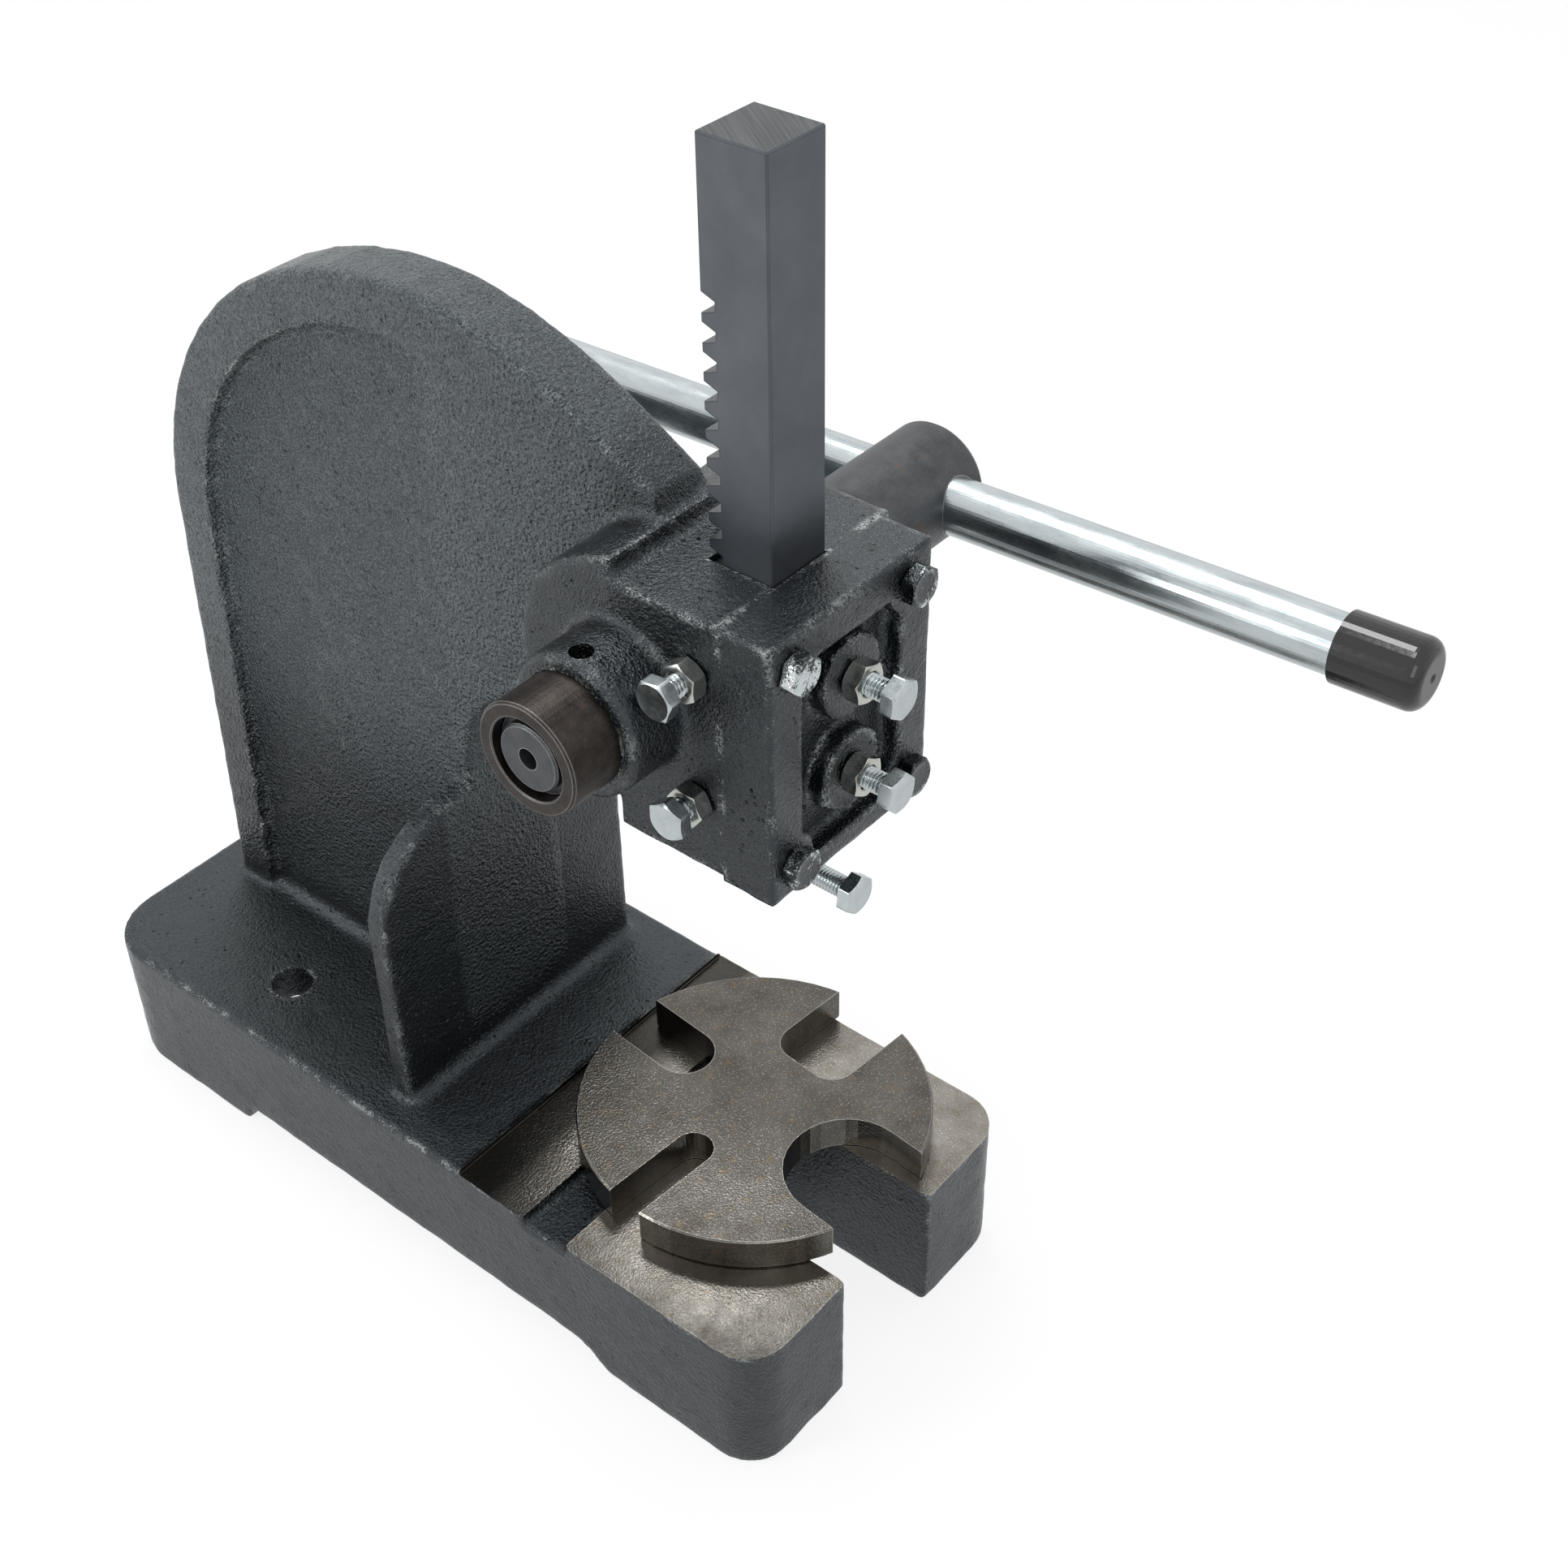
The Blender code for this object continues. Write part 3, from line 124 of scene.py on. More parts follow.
def lamp(name, place, target, width, depth, power):
    data = bpy.data.lights.new(name, "AREA")
    data.shape = "RECTANGLE"
    data.size = width
    data.size_y = depth
    data.energy = power
    made = bpy.data.objects.new(name, data)
    made.location = place
    made.rotation_euler = (Vector(target) - Vector(place)).to_track_quat("-Z", "Y").to_euler()
    bpy.context.collection.objects.link(made)


lamp("top_lamp", (0.25, 0.05, 1.55), (0, -0.2, 0.2), 0.35, 1.0, 9)
lamp("front_lamp", (-0.9, -1.5, 1.1), (0, -0.2, 0.2), 0.8, 0.8, 3)
lamp("side_lamp", (-1.2, 0.45, 0.75), (0, -0.1, 0.2), 0.5, 0.5, 7)


# The frame: one grey iron casting of base, web, rib and head. It is sand cast, sprayed with black enamel, and
# then the table, the head face, the bores and the bolt holes are machined bare on the real press; here only
# the table is given bare iron, and the other cuts keep the enamel.

CAST_GRID = 0.0015
CAST_SOFTENING = 5
CAST_KEEP_SHARE = 0.52
TABLE_Z = 0.0650
STRIP_REAR_Y = -0.2150
ALLOWANCE = 0.003
SKIN_LUMPS = ((0.012, 0.00022), (0.005, 0.00016))
RAM_Y = -0.311
PINION_Y = -0.2857
PINION_Z = 0.3098
BORE_RADIUS = 0.0201
BENCH_HOLES = ((-0.048, -0.083), (0.048, -0.083))
BENCH_HOLE_RADIUS = 0.0088
OIL_HOLE_X = -0.058
OIL_HOLE_RADIUS = 0.0040
JOINT_Y = -0.3241
HEAD_SIDES = (-0.0405, 0.0445)
GUIDE_HALF_WIDTH = 0.013


def solid_of(node):
    """The node's mesh as bmesh, with the seams that the import leaves closed again."""
    bm = bmesh.new()
    bm.from_mesh(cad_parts[node].data)
    bmesh.ops.remove_doubles(bm, verts=bm.verts, dist=1e-6)
    return bm


def block(bm, low, high):
    size = [h - l for l, h in zip(low, high)]
    middle = [(h + l) / 2 for l, h in zip(low, high)]
    bmesh.ops.create_cube(bm, size=1, matrix=Matrix.Translation(middle) @ Matrix.Diagonal((*size, 1)))


def rod(bm, radius, start, end, sides=64):
    start = Vector(start)
    end = Vector(end)
    turn = (end - start).to_track_quat("Z", "Y").to_matrix().to_4x4()
    bmesh.ops.create_cone(bm, cap_ends=True, segments=sides, radius1=radius, radius2=radius,
                          depth=(end - start).length,
                          matrix=Matrix.Translation((start + end) / 2) @ turn)


def made_object(name, bm, *finishes):
    bmesh.ops.recalc_face_normals(bm, faces=bm.faces)
    mesh = bpy.data.meshes.new(name)
    bm.to_mesh(mesh)
    bm.free()
    for finish in finishes:
        mesh.materials.append(finish)
    piece = bpy.data.objects.new(name, mesh)
    bpy.context.collection.objects.link(piece)
    return piece


def settle(piece):
    """Applies the piece's modifiers to its mesh."""
    graph = bpy.context.evaluated_depsgraph_get()
    mesh = bpy.data.meshes.new_from_object(piece.evaluated_get(graph))
    piece.modifiers.clear()
    piece.data = mesh
    return mesh


def cast_skin(piece, grid, rounds, lumps, keep):
    """Turns a sharp model into a casting: soft corners and fillets, and a skin that isn't flat."""
    change = piece.modifiers.new("skin", "REMESH")
    change.mode = "VOXEL"
    change.voxel_size = grid
    soften = piece.modifiers.new("soften", "SMOOTH")
    soften.iterations = rounds
    mesh = settle(piece)
    normals = [vertex.normal.copy() for vertex in mesh.vertices]
    for vertex, normal in zip(mesh.vertices, normals):
        vertex.co += normal * sum(height * noise.noise(vertex.co / size) for size, height in lumps)
    if keep < 1:
        thin = piece.modifiers.new("thin", "DECIMATE")
        thin.ratio = keep
        settle(piece)


def machined(piece, bm, finish, operation="DIFFERENCE"):
    tool = made_object("cutter", bm, finish)
    change = piece.modifiers.new("cut", "BOOLEAN")
    change.operation = operation
    change.solver = "MANIFOLD"
    change.material_mode = "TRANSFER"
    change.object = tool
    settle(piece)
    bpy.data.objects.remove(tool)


def crisp(piece, degrees=35):
    piece.data.shade_smooth()
    piece.data.set_sharp_from_angle(angle=math.radians(degrees))


def mixed(tree, amount, first, second):
    made = add(tree, "ShaderNodeMix", {0: amount, 6: first, 7: second}, data_type="RGBA")
    return made.outputs[2]


def ranged(tree, value, low, high, start=0.0, end=1.0):
    return add(tree, "ShaderNodeMapRange", {"Value": value, "From Min": low, "From Max": high,
                                            "To Min": start, "To Max": end})


def grain(tree, where, size, detail=2.0, rough=0.5, stretch=(1, 1, 1), shift=0.0):
    """Noise whose lumps are about size metres across, stretched along the axes by stretch."""
    scaled = add(tree, "ShaderNodeMapping", {"Vector": where, "Scale": [1 / (size * s) for s in stretch],
                                             "Location": (shift, shift, shift)})
    return add(tree, "ShaderNodeTexNoise", {"Vector": scaled, "Scale": 1.0, "Detail": detail,
                                            "Roughness": rough})


def object_place(tree):
    return add(tree, "ShaderNodeTexCoord").outputs["Object"]


def edge_amount(tree, radius, full=0.86, samples=6):
    """0 on flat faces and up to 1 on corners, from how far a rounded corner turns the surface."""
    rounded = add(tree, "ShaderNodeBevel", {"Radius": radius}, samples=samples)
    flat = add(tree, "ShaderNodeNewGeometry").outputs["Normal"]
    turned = add(tree, "ShaderNodeVectorMath", {0: rounded, 1: flat}, operation="DOT_PRODUCT")
    return ranged(tree, turned.outputs["Value"], 1.0, full)


def colour(red, green, blue):
    return (red, green, blue, 1.0)


def black_enamel(name, skin=1.0, wear_and_glint=1.0, chips=0.0, shift=0.0):
    """Sprayed black enamel on cast iron: pitted, pebbled on the web. Its corners get a broken silvery line
    that is partly rubbed wear and partly a painted highlight; grey specks are painted glints, and the upper
    web panel gets a grey that is partly dust and partly a painted reflection.
    """
    finish = bpy.data.materials.new(name)
    tree = emptied(finish)
    where = object_place(tree)
    pebble = grain(tree, where, 0.0016, 2.0, 0.55, shift=shift)
    along = add(tree, "ShaderNodeSeparateXYZ", {"Vector": where}).outputs
    on_web = calc(tree, "MULTIPLY", ranged(tree, calc(tree, "ABSOLUTE", along["X"]), 0.030, 0.026),
                  ranged(tree, along["Z"], 0.072, 0.085))
    on_web = calc(tree, "MULTIPLY", on_web, ranged(tree, along["Y"], -0.262, -0.250))
    fine = grain(tree, where, 0.0008, 2.0, 0.6, shift=3.0)
    broad = grain(tree, where, 0.030, 3.0, 0.55, shift=7.0)
    patch = grain(tree, where, 0.011, 3.0, 0.6, shift=11.0 + shift)
    dots = add(tree, "ShaderNodeTexVoronoi", {"Vector": where, "Scale": 300.0, "Randomness": 1.0})
    pit = calc(tree, "MULTIPLY", ranged(tree, dots, 0.24, 0.12), ranged(tree, patch, 0.50, 0.60))
    pebble_depth = calc(tree, "MULTIPLY", pebble, ranged(tree, on_web, 0, 1, 0.22, 1.0))
    height = calc(tree, "MULTIPLY_ADD", fine, 0.18, pebble_depth)
    height = calc(tree, "SUBTRACT", height, calc(tree, "MULTIPLY", pit, 0.5))
    bump = add(tree, "ShaderNodeBump", {"Strength": skin, "Distance": 0.0026, "Height": height})

    # The silvery line on corners, hollow ones included, is partly rubbed wear and partly a painted highlight
    # of the lamp on the rounded edges.
    edge = edge_amount(tree, 0.0035, 0.965)
    crumbs = calc(tree, "MULTIPLY_ADD", fine, 0.8, patch)
    rubbed_and_glinting = calc(tree, "MULTIPLY", edge, ranged(tree, crumbs, 0.93, 1.03))
    rubbed_and_glinting = calc(tree, "MULTIPLY", rubbed_and_glinting, wear_and_glint)
    painted_glint = calc(tree, "MULTIPLY", ranged(tree, fine, 0.66, 0.71), ranged(tree, broad, 0.42, 0.62))

    tone = mixed(tree, ranged(tree, broad, 0.35, 0.70), colour(0.0015, 0.0018, 0.0022),
                 colour(0.0035, 0.0042, 0.0050))
    # The upper web panel is painted a grainy grey: partly dust, partly a painted reflection of the white
    # surroundings in the glossy paint.
    dust_and_sheen = mixed(tree, ranged(tree, fine, 0.4, 0.6), colour(0.012, 0.015, 0.017), colour(0.085, 0.100, 0.106))
    sheen_and_dust_mask = calc(tree, "MULTIPLY", on_web, ranged(tree, along["Z"], 0.15, 0.22))
    tone = mixed(tree, sheen_and_dust_mask, tone, dust_and_sheen)
    rusty = calc(tree, "MULTIPLY", ranged(tree, patch, 0.66, 0.76), 0.30)
    tone = mixed(tree, rusty, tone, colour(0.045, 0.032, 0.024))
    # Grey specks: painted glints of the lamp on the grain of the paint.
    tone = mixed(tree, calc(tree, "MULTIPLY", painted_glint, 0.45), tone, colour(0.16, 0.17, 0.17))
    # Pits are painted a little darker: painted shade in them.
    tone = mixed(tree, calc(tree, "MULTIPLY", pit, 0.8), tone, colour(0.002, 0.002, 0.002))
    tone = mixed(tree, rubbed_and_glinting, tone, colour(0.34, 0.36, 0.35))
    rough = ranged(tree, broad, 0.3, 0.7, 0.13, 0.22)
    rough = calc(tree, "MULTIPLY_ADD", calc(tree, "SUBTRACT", pebble, 0.5), 0.20, rough)
    metal = calc(tree, "MULTIPLY", rubbed_and_glinting, 0.6)
    if chips:
        bare = ranged(tree, calc(tree, "MULTIPLY_ADD", fine, 0.25, patch), 0.86 - chips, 0.90 - chips)
        tone = mixed(tree, bare, tone, colour(0.66, 0.70, 0.70))
        metal = calc(tree, "MAXIMUM", metal, bare)
    shader = add(tree, "ShaderNodeBsdfPrincipled", {
        "Base Color": tone, "Roughness": rough, "Metallic": metal, "IOR": 1.60,
        "Specular Tint": colour(0.82, 0.93, 1.0), "Normal": bump})
    add(tree, "ShaderNodeOutputMaterial", {"Surface": shader})
    return finish


def ground_iron(name, level=1.0, rear_dark_reflection=0.0):
    """Machined grey iron, wiped with oil: warm grey, finely grained, with rust-yellow specks. Its brightness
    is set per part to paint in the light or shade it reflects, and where asked its rear strip is painted
    darker, a painted reflection of the black web.
    """
    finish = bpy.data.materials.new(name)
    tree = emptied(finish)
    where = object_place(tree)
    fine = grain(tree, where, 0.0009, 2.0, 0.6)
    cloud = grain(tree, where, 0.018, 4.0, 0.6, shift=5.0)
    stain = grain(tree, where, 0.005, 3.0, 0.6, shift=9.0)
    dark = [0.115 * level, 0.106 * level, 0.092 * level]
    light = [0.200 * level, 0.190 * level, 0.172 * level]
    tone = mixed(tree, ranged(tree, cloud, 0.32, 0.68), colour(*dark), colour(*light))
    glint = calc(tree, "MULTIPLY", ranged(tree, fine, 0.54, 0.70), 0.5)
    tone = mixed(tree, glint, tone, colour(0.30, 0.29, 0.26))
    rust = calc(tree, "MULTIPLY", ranged(tree, stain, 0.58, 0.72), 0.5)
    tone = mixed(tree, rust, tone, colour(0.19, 0.135, 0.070))
    # Where asked, the rear strip is painted darker: a painted reflection of the black web behind it.
    if rear_dark_reflection:
        rear = add(tree, "ShaderNodeSeparateXYZ", {"Vector": where}).outputs["Y"]
        painted_rear_reflection = calc(tree, "MULTIPLY", ranged(tree, rear, -0.240, -0.230), rear_dark_reflection)
        tone = mixed(tree, painted_rear_reflection, tone, colour(0.030, 0.029, 0.026))
    edge = edge_amount(tree, 0.0007)
    tone = mixed(tree, calc(tree, "MULTIPLY", edge, 0.7), tone, colour(0.50, 0.49, 0.45))
    bump = add(tree, "ShaderNodeBump", {"Strength": 0.5, "Distance": 0.00025, "Height": fine})
    shader = add(tree, "ShaderNodeBsdfPrincipled", {
        "Base Color": tone, "Metallic": 1.0, "Roughness": ranged(tree, cloud, 0.3, 0.7, 0.25, 0.17),
        "Normal": bump})
    add(tree, "ShaderNodeOutputMaterial", {"Surface": shader})
    return finish


enamel = black_enamel("black_enamel")
# The table is painted 1.65 times as bright, a painted highlight for the bright haze it reflects; its rear
# strip gets the painted dark reflection of the web.
table_iron = ground_iron("table_iron", 1.65, 0.85)

bm = solid_of("press_frame")
tops = [f for f in bm.faces if f.normal.z > 0.99 and abs(f.calc_center_median().z - TABLE_Z) < 2e-4
        and f.calc_center_median().y < STRIP_REAR_Y]
raised = bmesh.ops.extrude_face_region(bm, geom=tops)
bmesh.ops.translate(bm, vec=(0, 0, ALLOWANCE),
                    verts=[v for v in raised["geom"] if isinstance(v, bmesh.types.BMVert)])
block(bm, (HEAD_SIDES[0], JOINT_Y - ALLOWANCE, 0.2535), (HEAD_SIDES[1], -0.2805, 0.350))
rod(bm, 0.0215, (-0.0645, PINION_Y, PINION_Z), (0.0585, PINION_Y, PINION_Z))
for x, y in BENCH_HOLES:
    rod(bm, 0.0105, (x, y, 0.0495), (x, y, 0.0655))
rod(bm, 0.0050, (OIL_HOLE_X, PINION_Y, 0.325), (OIL_HOLE_X, PINION_Y, 0.3352))
casting = made_object("frame_casting", bm)
cast_skin(casting, CAST_GRID, CAST_SOFTENING, SKIN_LUMPS, CAST_KEEP_SHARE)
casting.data.materials.append(enamel)
casting.data.materials.append(table_iron)

bm = bmesh.new()
block(bm, (-0.1, -0.4, TABLE_Z), (0.1, STRIP_REAR_Y, 0.09))
machined(casting, bm, table_iron)
bm = bmesh.new()
block(bm, (-0.1, JOINT_Y - 0.03, 0.2), (0.1, JOINT_Y, 0.4))
machined(casting, bm, enamel)
bm = bmesh.new()
block(bm, (-GUIDE_HALF_WIDTH, RAM_Y - 0.03, 0.24), (GUIDE_HALF_WIDTH, RAM_Y + GUIDE_HALF_WIDTH, 0.36))
machined(casting, bm, enamel)
bm = bmesh.new()
rod(bm, BORE_RADIUS, (-0.08, PINION_Y, PINION_Z), (0.08, PINION_Y, PINION_Z))
machined(casting, bm, enamel)
bm = bmesh.new()
for x, y in BENCH_HOLES:
    rod(bm, BENCH_HOLE_RADIUS, (x, y, -0.01), (x, y, 0.08))
rod(bm, OIL_HOLE_RADIUS, (OIL_HOLE_X, PINION_Y, 0.328), (OIL_HOLE_X, PINION_Y, 0.345), 32)
machined(casting, bm, enamel)
crisp(casting)
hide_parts("press_frame")
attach(casting, "press")


# The guide cover: a small iron casting that closes the front of the head. It has a sunk middle
# with raised pads for the four bolts and bosses for the two adjusters, and the same black enamel.

COVER_GRID = 0.0008
COVER_SOFTENING = 6
COVER_KEEP_SHARE = 0.8
COVER_FACE_Y = -0.3447
COVER_HALF_WIDTH = 0.0405
HOLE_FILL_RADIUS = 0.0050
PAINT_RINGS = ((0.2822, 22, 0.0132, 0.0017), (0.3190, 16, 0.0138, 0.0010))
BOLT_X = 0.0295
BOLT_HEIGHTS = (0.3385, 0.2625)
ADJUSTER_HEIGHTS = (0.3190, 0.2822)
bm = solid_of("guide_cover")
for z in BOLT_HEIGHTS:
    for x in (-BOLT_X, BOLT_X):
        rod(bm, HOLE_FILL_RADIUS, (x, COVER_FACE_Y, z), (x, JOINT_Y, z), 24)
for z in ADJUSTER_HEIGHTS:
    rod(bm, HOLE_FILL_RADIUS, (0, COVER_FACE_Y, z), (0, JOINT_Y, z), 24)
block(bm, (-COVER_HALF_WIDTH, -0.3270, 0.2508), (COVER_HALF_WIDTH, JOINT_Y + ALLOWANCE, 0.3500))
for z, count, spread, size in PAINT_RINGS:
    for k in range(count):
        angle = 2 * math.pi * k / count
        wobble = noise.noise(Vector((k * 1.7, z * 90, 0)))
        reach = spread + 0.0012 * wobble
        centre = (reach * math.cos(angle), COVER_FACE_Y + 0.0008, z + reach * math.sin(angle))
        bmesh.ops.create_icosphere(bm, subdivisions=2, radius=size * (1 + 0.7 * wobble),
                                   matrix=Matrix.Translation(centre))
cover = made_object("guide_cover_casting", bm)
cast_skin(cover, COVER_GRID, COVER_SOFTENING, SKIN_LUMPS, COVER_KEEP_SHARE)
cover.data.materials.append(enamel)
bm = bmesh.new()
block(bm, (-0.1, JOINT_Y, 0.2), (0.1, JOINT_Y + 0.03, 0.4))
machined(cover, bm, enamel)
crisp(cover)
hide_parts("guide_cover")
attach(cover, "press")


# The four cover bolts: M8 hexagon bolts, painted over together with the cover. The thick paint is chipped
# down to bright zinc in patches, and the heads get twice the silvery corner line, partly wear and partly a
# painted highlight.

def hexagon_radius(angle, flats):
    side = math.radians(60)
    off = (angle % side) - side / 2
    return min(flats / 2 / math.cos(off), flats / math.sqrt(3) * 0.985)


HEX_ANGLES = []
for side in range(6):
    HEX_ANGLES += [math.radians(60 * side + step) for step in (0, 2.5, 6, 14, 30, 46, 54, 57.5)]


def ring(bm, along, radius):
    """One closed row of points round local +X. along and radius may be functions of the angle."""
    row = []
    for angle in HEX_ANGLES:
        r = radius(angle) if callable(radius) else radius
        x = along(angle) if callable(along) else along
        row.append(bm.verts.new((x, r * math.cos(angle), r * math.sin(angle))))
    return row


def skin_rows(bm, rows, closed=False):
    pairs = list(zip(rows, rows[1:]))
    if closed:
        pairs.append((rows[-1], rows[0]))
    for first, second in pairs:
        count = len(first)
        for i in range(count):
            bm.faces.new((first[i], second[i], second[(i + 1) % count], first[(i + 1) % count]))
    if not closed:
        bm.faces.new(rows[0])
        bm.faces.new(rows[-1])


def hexagon_rows(bm, height, flats, chamfer_low, crown):
    """Rows of a hexagon from its outer to its inner end, its corners cut off by 30 degree cones."""
    circle = flats * 0.475
    slope = math.tan(math.radians(30))

    def corner(angle):
        return hexagon_radius(angle, flats)

    rows = [ring(bm, height - crown, circle * 0.55), ring(bm, height - crown * 0.6, circle * 0.86),
            ring(bm, height, circle)]
    rows.append(ring(bm, lambda a: height - (corner(a) - circle) * slope - 0.00002, corner))
    if chamfer_low:
        rows.append(ring(bm, lambda a: (corner(a) - circle) * slope + 0.00002, corner))
        rows.append(ring(bm, 0, circle))
    else:
        rows.append(ring(bm, 0.0004, corner))
        rows.append(ring(bm, 0.0004, circle))
        rows.append(ring(bm, 0, circle * 0.985))
    return rows


def thread_rows(bm, start, end, radius, pitch):
    """Rows of a screw thread along local X: the radius follows a slanting V form."""
    depth = 0.55 * pitch
    count = max(2, round(abs(end - start) / pitch * 8))
    rows = []
    for i in range(count + 1):
        x = start + (end - start) * i / count

        def wave(angle, x=x):
            turn = (x / pitch + angle / (2 * math.pi)) % 1
            v = min(1, abs(turn - 0.5) * 2.6)
            return radius - depth * v

        rows.append(ring(bm, x, wave))
    return rows


SCREW_RADIUS = 0.0040
SCREW_PITCH = 0.00125
HEX_FLATS = 0.0130
HEAD_HEIGHT = 0.0053
NUT_HEIGHT = 0.0065
SEAT_GAP = 0.0003


def hex_screw(name, shank, head, threaded_from, *finishes):
    bm = bmesh.new()
    rows = hexagon_rows(bm, head, HEX_FLATS, False, 0.00025)
    rows.append(ring(bm, 0, SCREW_RADIUS * 0.94))
    rows.append(ring(bm, -threaded_from, SCREW_RADIUS * 0.94))
    rows += thread_rows(bm, -threaded_from - 0.0002, -shank + 0.001, SCREW_RADIUS, SCREW_PITCH)
    rows.append(ring(bm, -shank, SCREW_RADIUS * 0.7))
    skin_rows(bm, rows)
    return made_object(name, bm, *finishes)


def hex_nut(name, height, *finishes):
    bm = bmesh.new()
    rows = hexagon_rows(bm, height, HEX_FLATS, True, 0)[2:]
    inner = SCREW_RADIUS + 0.0002
    rows.append(ring(bm, 0, inner + 0.0005))
    rows.append(ring(bm, 0.0005, inner))
    rows.append(ring(bm, height - 0.0005, inner))
    rows.append(ring(bm, height, inner + 0.0005))
    skin_rows(bm, rows, closed=True)
    return made_object(name, bm, *finishes)


def heading_place(quarter_turns, x, y, z, turn):
    """A place on the press for a screw whose head looks along -Y (-1 quarter turn) or -X (2)."""
    heading = Matrix.Rotation(quarter_turns * math.pi / 2, 4, "Z")
    return Matrix.Translation((x, y, z)) @ heading @ Matrix.Rotation(turn, 4, "X")


def facing_front(x, y, z, turn):
    return heading_place(-1, x, y, z, turn)


def facing_left(x, y, z, turn):
    return heading_place(2, x, y, z, turn)


def zinc(name, warm=0.0, mottle=1.0, along=(1, 1, 1)):
    """Bright zinc plating: bluish silver with a fine crystalline mottle, and yellowish when old."""
    finish = bpy.data.materials.new(name)
    tree = emptied(finish)
    where = object_place(tree)
    fine = grain(tree, where, 0.0010, 3.0, 0.6, stretch=along)
    cloud = grain(tree, where, 0.004, 3.0, 0.6, stretch=along, shift=4.0)
    tone = mixed(tree, ranged(tree, cloud, 0.3, 0.7), colour(0.48, 0.53, 0.55), colour(0.58, 0.63, 0.64))
    tone = mixed(tree, warm, tone, colour(0.56, 0.54, 0.46))
    dirt = calc(tree, "MULTIPLY", ranged(tree, fine, 0.60, 0.72), 0.3 * mottle)
    tone = mixed(tree, dirt, tone, colour(0.24, 0.25, 0.25))
    bump = add(tree, "ShaderNodeBump", {"Strength": 0.2, "Distance": 0.00012, "Height": cloud})
    shader = add(tree, "ShaderNodeBsdfPrincipled", {
        "Base Color": tone, "Metallic": 1.0, "Roughness": ranged(tree, cloud, 0.3, 0.7, 0.20, 0.32),
        "Normal": bump})
    add(tree, "ShaderNodeOutputMaterial", {"Surface": shader})
    return finish


bright_zinc = zinc("bright_zinc")
warm_zinc = zinc("yellowed_zinc", 0.55, 1.0)
BOLT_CHIPS = (0.20, 0.12, 0.17, 0.10)

number = 1
for z in BOLT_HEIGHTS:
    for x in (-BOLT_X, BOLT_X):
        bolt_paint = black_enamel("bolt_enamel_%d" % number, 0.3, 2.0, BOLT_CHIPS[number - 1],
                                  number * 5.0)
        bolt = hex_screw("painted_bolt_%d" % number, 0.020, HEAD_HEIGHT, 0.012, bolt_paint)
        bolt.matrix_world = facing_front(x, COVER_FACE_Y - SEAT_GAP, z, number * math.radians(13))
        crisp(bolt)
        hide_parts("cover_bolt_%d" % number)
        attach(bolt, "press")
        number += 1


# The gib strips: flat ground steel bars between the adjusters and the ram, in slots of the head
# and the cover. Only their ends and thin edges can be seen beside the ram.

strip_iron = ground_iron("gib_steel")
for strip in ("front_gib", "side_gib"):
    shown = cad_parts[strip]
    shown.data.materials.clear()
    shown.data.materials.append(strip_iron)


# The adjusters: zinc plated M8 screws that push the gibs against the ram, two from the front and
# two from the left, each held by a thin lock nut that has gone slightly yellow.

ADJUSTERS = (
    ("front_adjuster_upper", "front_lock_nut_upper", "front", (0, 0.3190), 0.0200, 26, 17),
    ("front_adjuster_lower", "front_lock_nut_lower", "front", (0, 0.2822), 0.0200, 12, 17),
    ("side_adjuster_upper", "side_lock_nut_upper", "side", (-0.3140, 0.3290), 0.0177, 8, 21),
    ("side_adjuster_lower", "side_lock_nut_lower", "side", (-0.3140, 0.2806), 0.0152, 33, 21),
)
for screw_node, nut_node, side, (across, z), reach, turn, nut_turn in ADJUSTERS:
    screw = hex_screw(screw_node + "_threaded", reach + 0.002, HEAD_HEIGHT, 0.0012, bright_zinc)
    lock_nut = hex_nut(nut_node + "_threaded", NUT_HEIGHT, warm_zinc)
    turn, nut_turn = math.radians(turn), math.radians(turn + nut_turn)
    if side == "front":
        screw.matrix_world = facing_front(across, COVER_FACE_Y - reach + HEAD_HEIGHT, z, turn)
        lock_nut.matrix_world = facing_front(across, COVER_FACE_Y - SEAT_GAP, z, nut_turn)
    else:
        screw.matrix_world = facing_left(HEAD_SIDES[0] - reach + HEAD_HEIGHT, across, z, turn)
        lock_nut.matrix_world = facing_left(HEAD_SIDES[0] - SEAT_GAP, across, z, nut_turn)
    for piece, node in ((screw, screw_node), (lock_nut, nut_node)):
        crisp(piece)
        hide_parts(node)
        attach(piece, "press")


# The ram: a one inch square steel bar with rack teeth milled in its rear face. It is blackened and smooth,
# with darker corners and the marks of the milling cutter across its top.

finish = bpy.data.materials.new("blackened_steel")
tree = emptied(finish)
where = object_place(tree)
drawn = grain(tree, where, 0.0006, 2.0, 0.6, stretch=(1, 1, 30))
cloud = grain(tree, where, 0.02, 3.0, 0.6, shift=4.0)
tone = mixed(tree, ranged(tree, cloud, 0.3, 0.7), colour(0.106, 0.116, 0.130), colour(0.138, 0.150, 0.166))
slanted = add(tree, "ShaderNodeMapping", {"Vector": where, "Rotation": (0, 0, math.radians(35))})
milling = grain(tree, slanted, 0.0009, 2.0, 0.6, stretch=(1, 40, 1))
facing = add(tree, "ShaderNodeSeparateXYZ", {0: add(tree, "ShaderNodeNewGeometry").outputs["Normal"]})
on_top = ranged(tree, facing.outputs["Z"], 0.8, 0.95)
milled = mixed(tree, ranged(tree, milling, 0.35, 0.65), colour(0.052, 0.057, 0.062),
               colour(0.100, 0.107, 0.113))
tone = mixed(tree, on_top, tone, milled)
edge = edge_amount(tree, 0.0008)
tone = mixed(tree, calc(tree, "MULTIPLY", edge, 0.8), tone, colour(0.020, 0.021, 0.024))
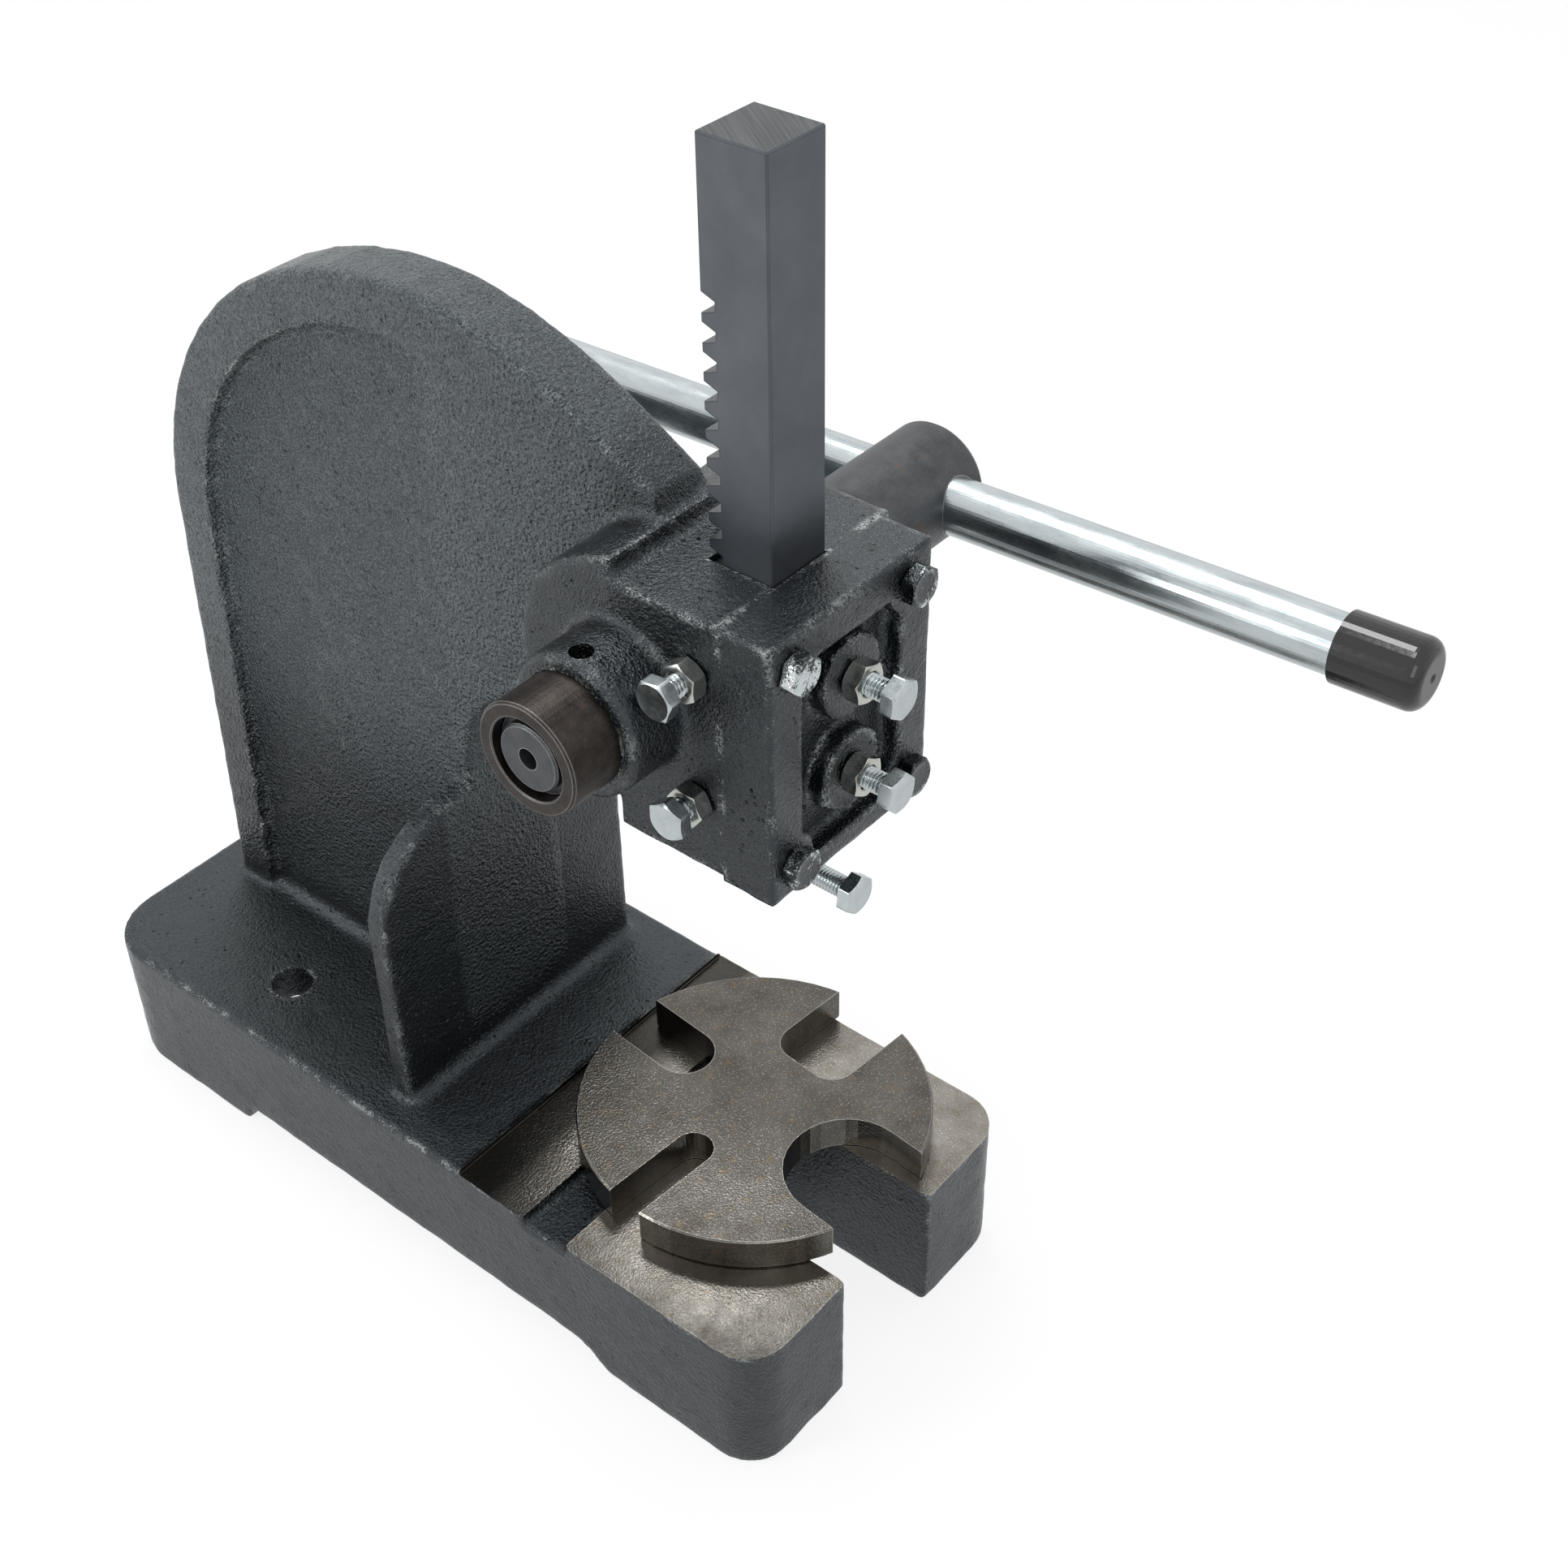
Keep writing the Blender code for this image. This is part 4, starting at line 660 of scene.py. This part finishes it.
bump = add(tree, "ShaderNodeBump", {"Strength": 0.08, "Distance": 0.0002, "Height": drawn})
shader = add(tree, "ShaderNodeBsdfPrincipled", {
    "Base Color": tone, "Metallic": 0.9, "Roughness": ranged(tree, cloud, 0.3, 0.7, 0.30, 0.40),
    "Normal": bump})
add(tree, "ShaderNodeOutputMaterial", {"Surface": shader})
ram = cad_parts["ram"]
ram.data.materials.clear()
ram.data.materials.append(finish)


# The clamp screw in the ram's nose: the same zinc plated M8 screw, which holds a tool's shank.

RAM_HALF_SIDE = 0.0127
CLAMP_REACH = 0.0252
clamp = hex_screw("ram_clamp_screw_threaded", 0.0310, HEAD_HEIGHT, 0.0012, bright_zinc)
CLAMP_Z = 0.2302
clamp_y = RAM_Y - RAM_HALF_SIDE - CLAMP_REACH + HEAD_HEIGHT
clamp.matrix_world = facing_front(0, clamp_y, CLAMP_Z, math.radians(20))
crisp(clamp)
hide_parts("ram_clamp_screw")
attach(clamp, "clamp_screw")


# The pinion shaft with its hub and split ring, and the bush that carries its left end. They are
# turned steel: the shaft has gone grey, and the bush keeps a dark brown oxide with bright corners.

def oxide(name, low, high, worn):
    """Turned steel under a thin oxide, scuffed in small spots and bright on its corners."""
    finish = bpy.data.materials.new(name)
    tree = emptied(finish)
    where = object_place(tree)
    fine = grain(tree, where, 0.0008, 3.0, 0.65)
    cloud = grain(tree, where, 0.008, 3.0, 0.6, shift=4.0)
    tone = mixed(tree, ranged(tree, cloud, 0.3, 0.7), colour(*low), colour(*high))
    scuffs = calc(tree, "MULTIPLY", ranged(tree, fine, 0.60, 0.75), 0.5)
    tone = mixed(tree, scuffs, tone, colour(*worn))
    rust = calc(tree, "MULTIPLY", ranged(tree, cloud, 0.62, 0.72), 0.4)
    tone = mixed(tree, rust, tone, colour(0.14, 0.075, 0.04))
    edge = edge_amount(tree, 0.0007)
    tone = mixed(tree, calc(tree, "MULTIPLY", edge, 0.8), tone, colour(0.45, 0.45, 0.44))
    bump = add(tree, "ShaderNodeBump", {"Strength": 0.35, "Distance": 0.0003, "Height": fine})
    shader = add(tree, "ShaderNodeBsdfPrincipled", {
        "Base Color": tone, "Metallic": 0.85, "Roughness": ranged(tree, cloud, 0.3, 0.7, 0.34, 0.46),
        "Normal": bump})
    add(tree, "ShaderNodeOutputMaterial", {"Surface": shader})
    return finish


shaft_oxide = oxide("grey_oxide", (0.062, 0.065, 0.070), (0.100, 0.104, 0.110), (0.20, 0.20, 0.19))
bush_oxide = oxide("brown_oxide", (0.026, 0.021, 0.018), (0.060, 0.052, 0.048), (0.16, 0.15, 0.13))
COATS = (("pinion_shaft", shaft_oxide), ("shaft_ring", shaft_oxide), ("pinion_bush", bush_oxide))
for node, oxide_coat in COATS:
    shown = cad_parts[node]
    shown.data.materials.clear()
    shown.data.materials.append(oxide_coat)


# The lever: a plain zinc plated bar that slides through the hub, with a vinyl cap on each end.

lever_zinc = zinc("lever_zinc", 0.0, 0.8, (1, 4, 1))
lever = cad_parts["lever_bar"]
lever.data.materials.clear()
lever.data.materials.append(lever_zinc)

finish = bpy.data.materials.new("black_vinyl")
tree = emptied(finish)
where = object_place(tree)
fine = grain(tree, where, 0.002, 3.0, 0.6)
bump = add(tree, "ShaderNodeBump", {"Strength": 0.08, "Distance": 0.0003, "Height": fine})
shader = add(tree, "ShaderNodeBsdfPrincipled", {
    "Base Color": colour(0.006, 0.006, 0.007), "IOR": 1.6,
    "Roughness": ranged(tree, fine, 0.3, 0.7, 0.10, 0.17),
    "Normal": bump})
add(tree, "ShaderNodeOutputMaterial", {"Surface": shader})
for cap in ("lever_cap_front", "lever_cap_rear"):
    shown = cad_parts[cap]
    shown.data.materials.clear()
    shown.data.materials.append(finish)


# The anvil plate: a loose round iron plate with four slots of different widths, turned and ground
# all over, lying on the table under the ram.

# The plate's iron is painted darker, 0.72 times, a painted reflection of the dark ram and head above it.
plate_iron = ground_iron("anvil_iron", 0.72)
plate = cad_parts["anvil_plate"]
plate.data.materials.clear()
plate.data.materials.append(plate_iron)
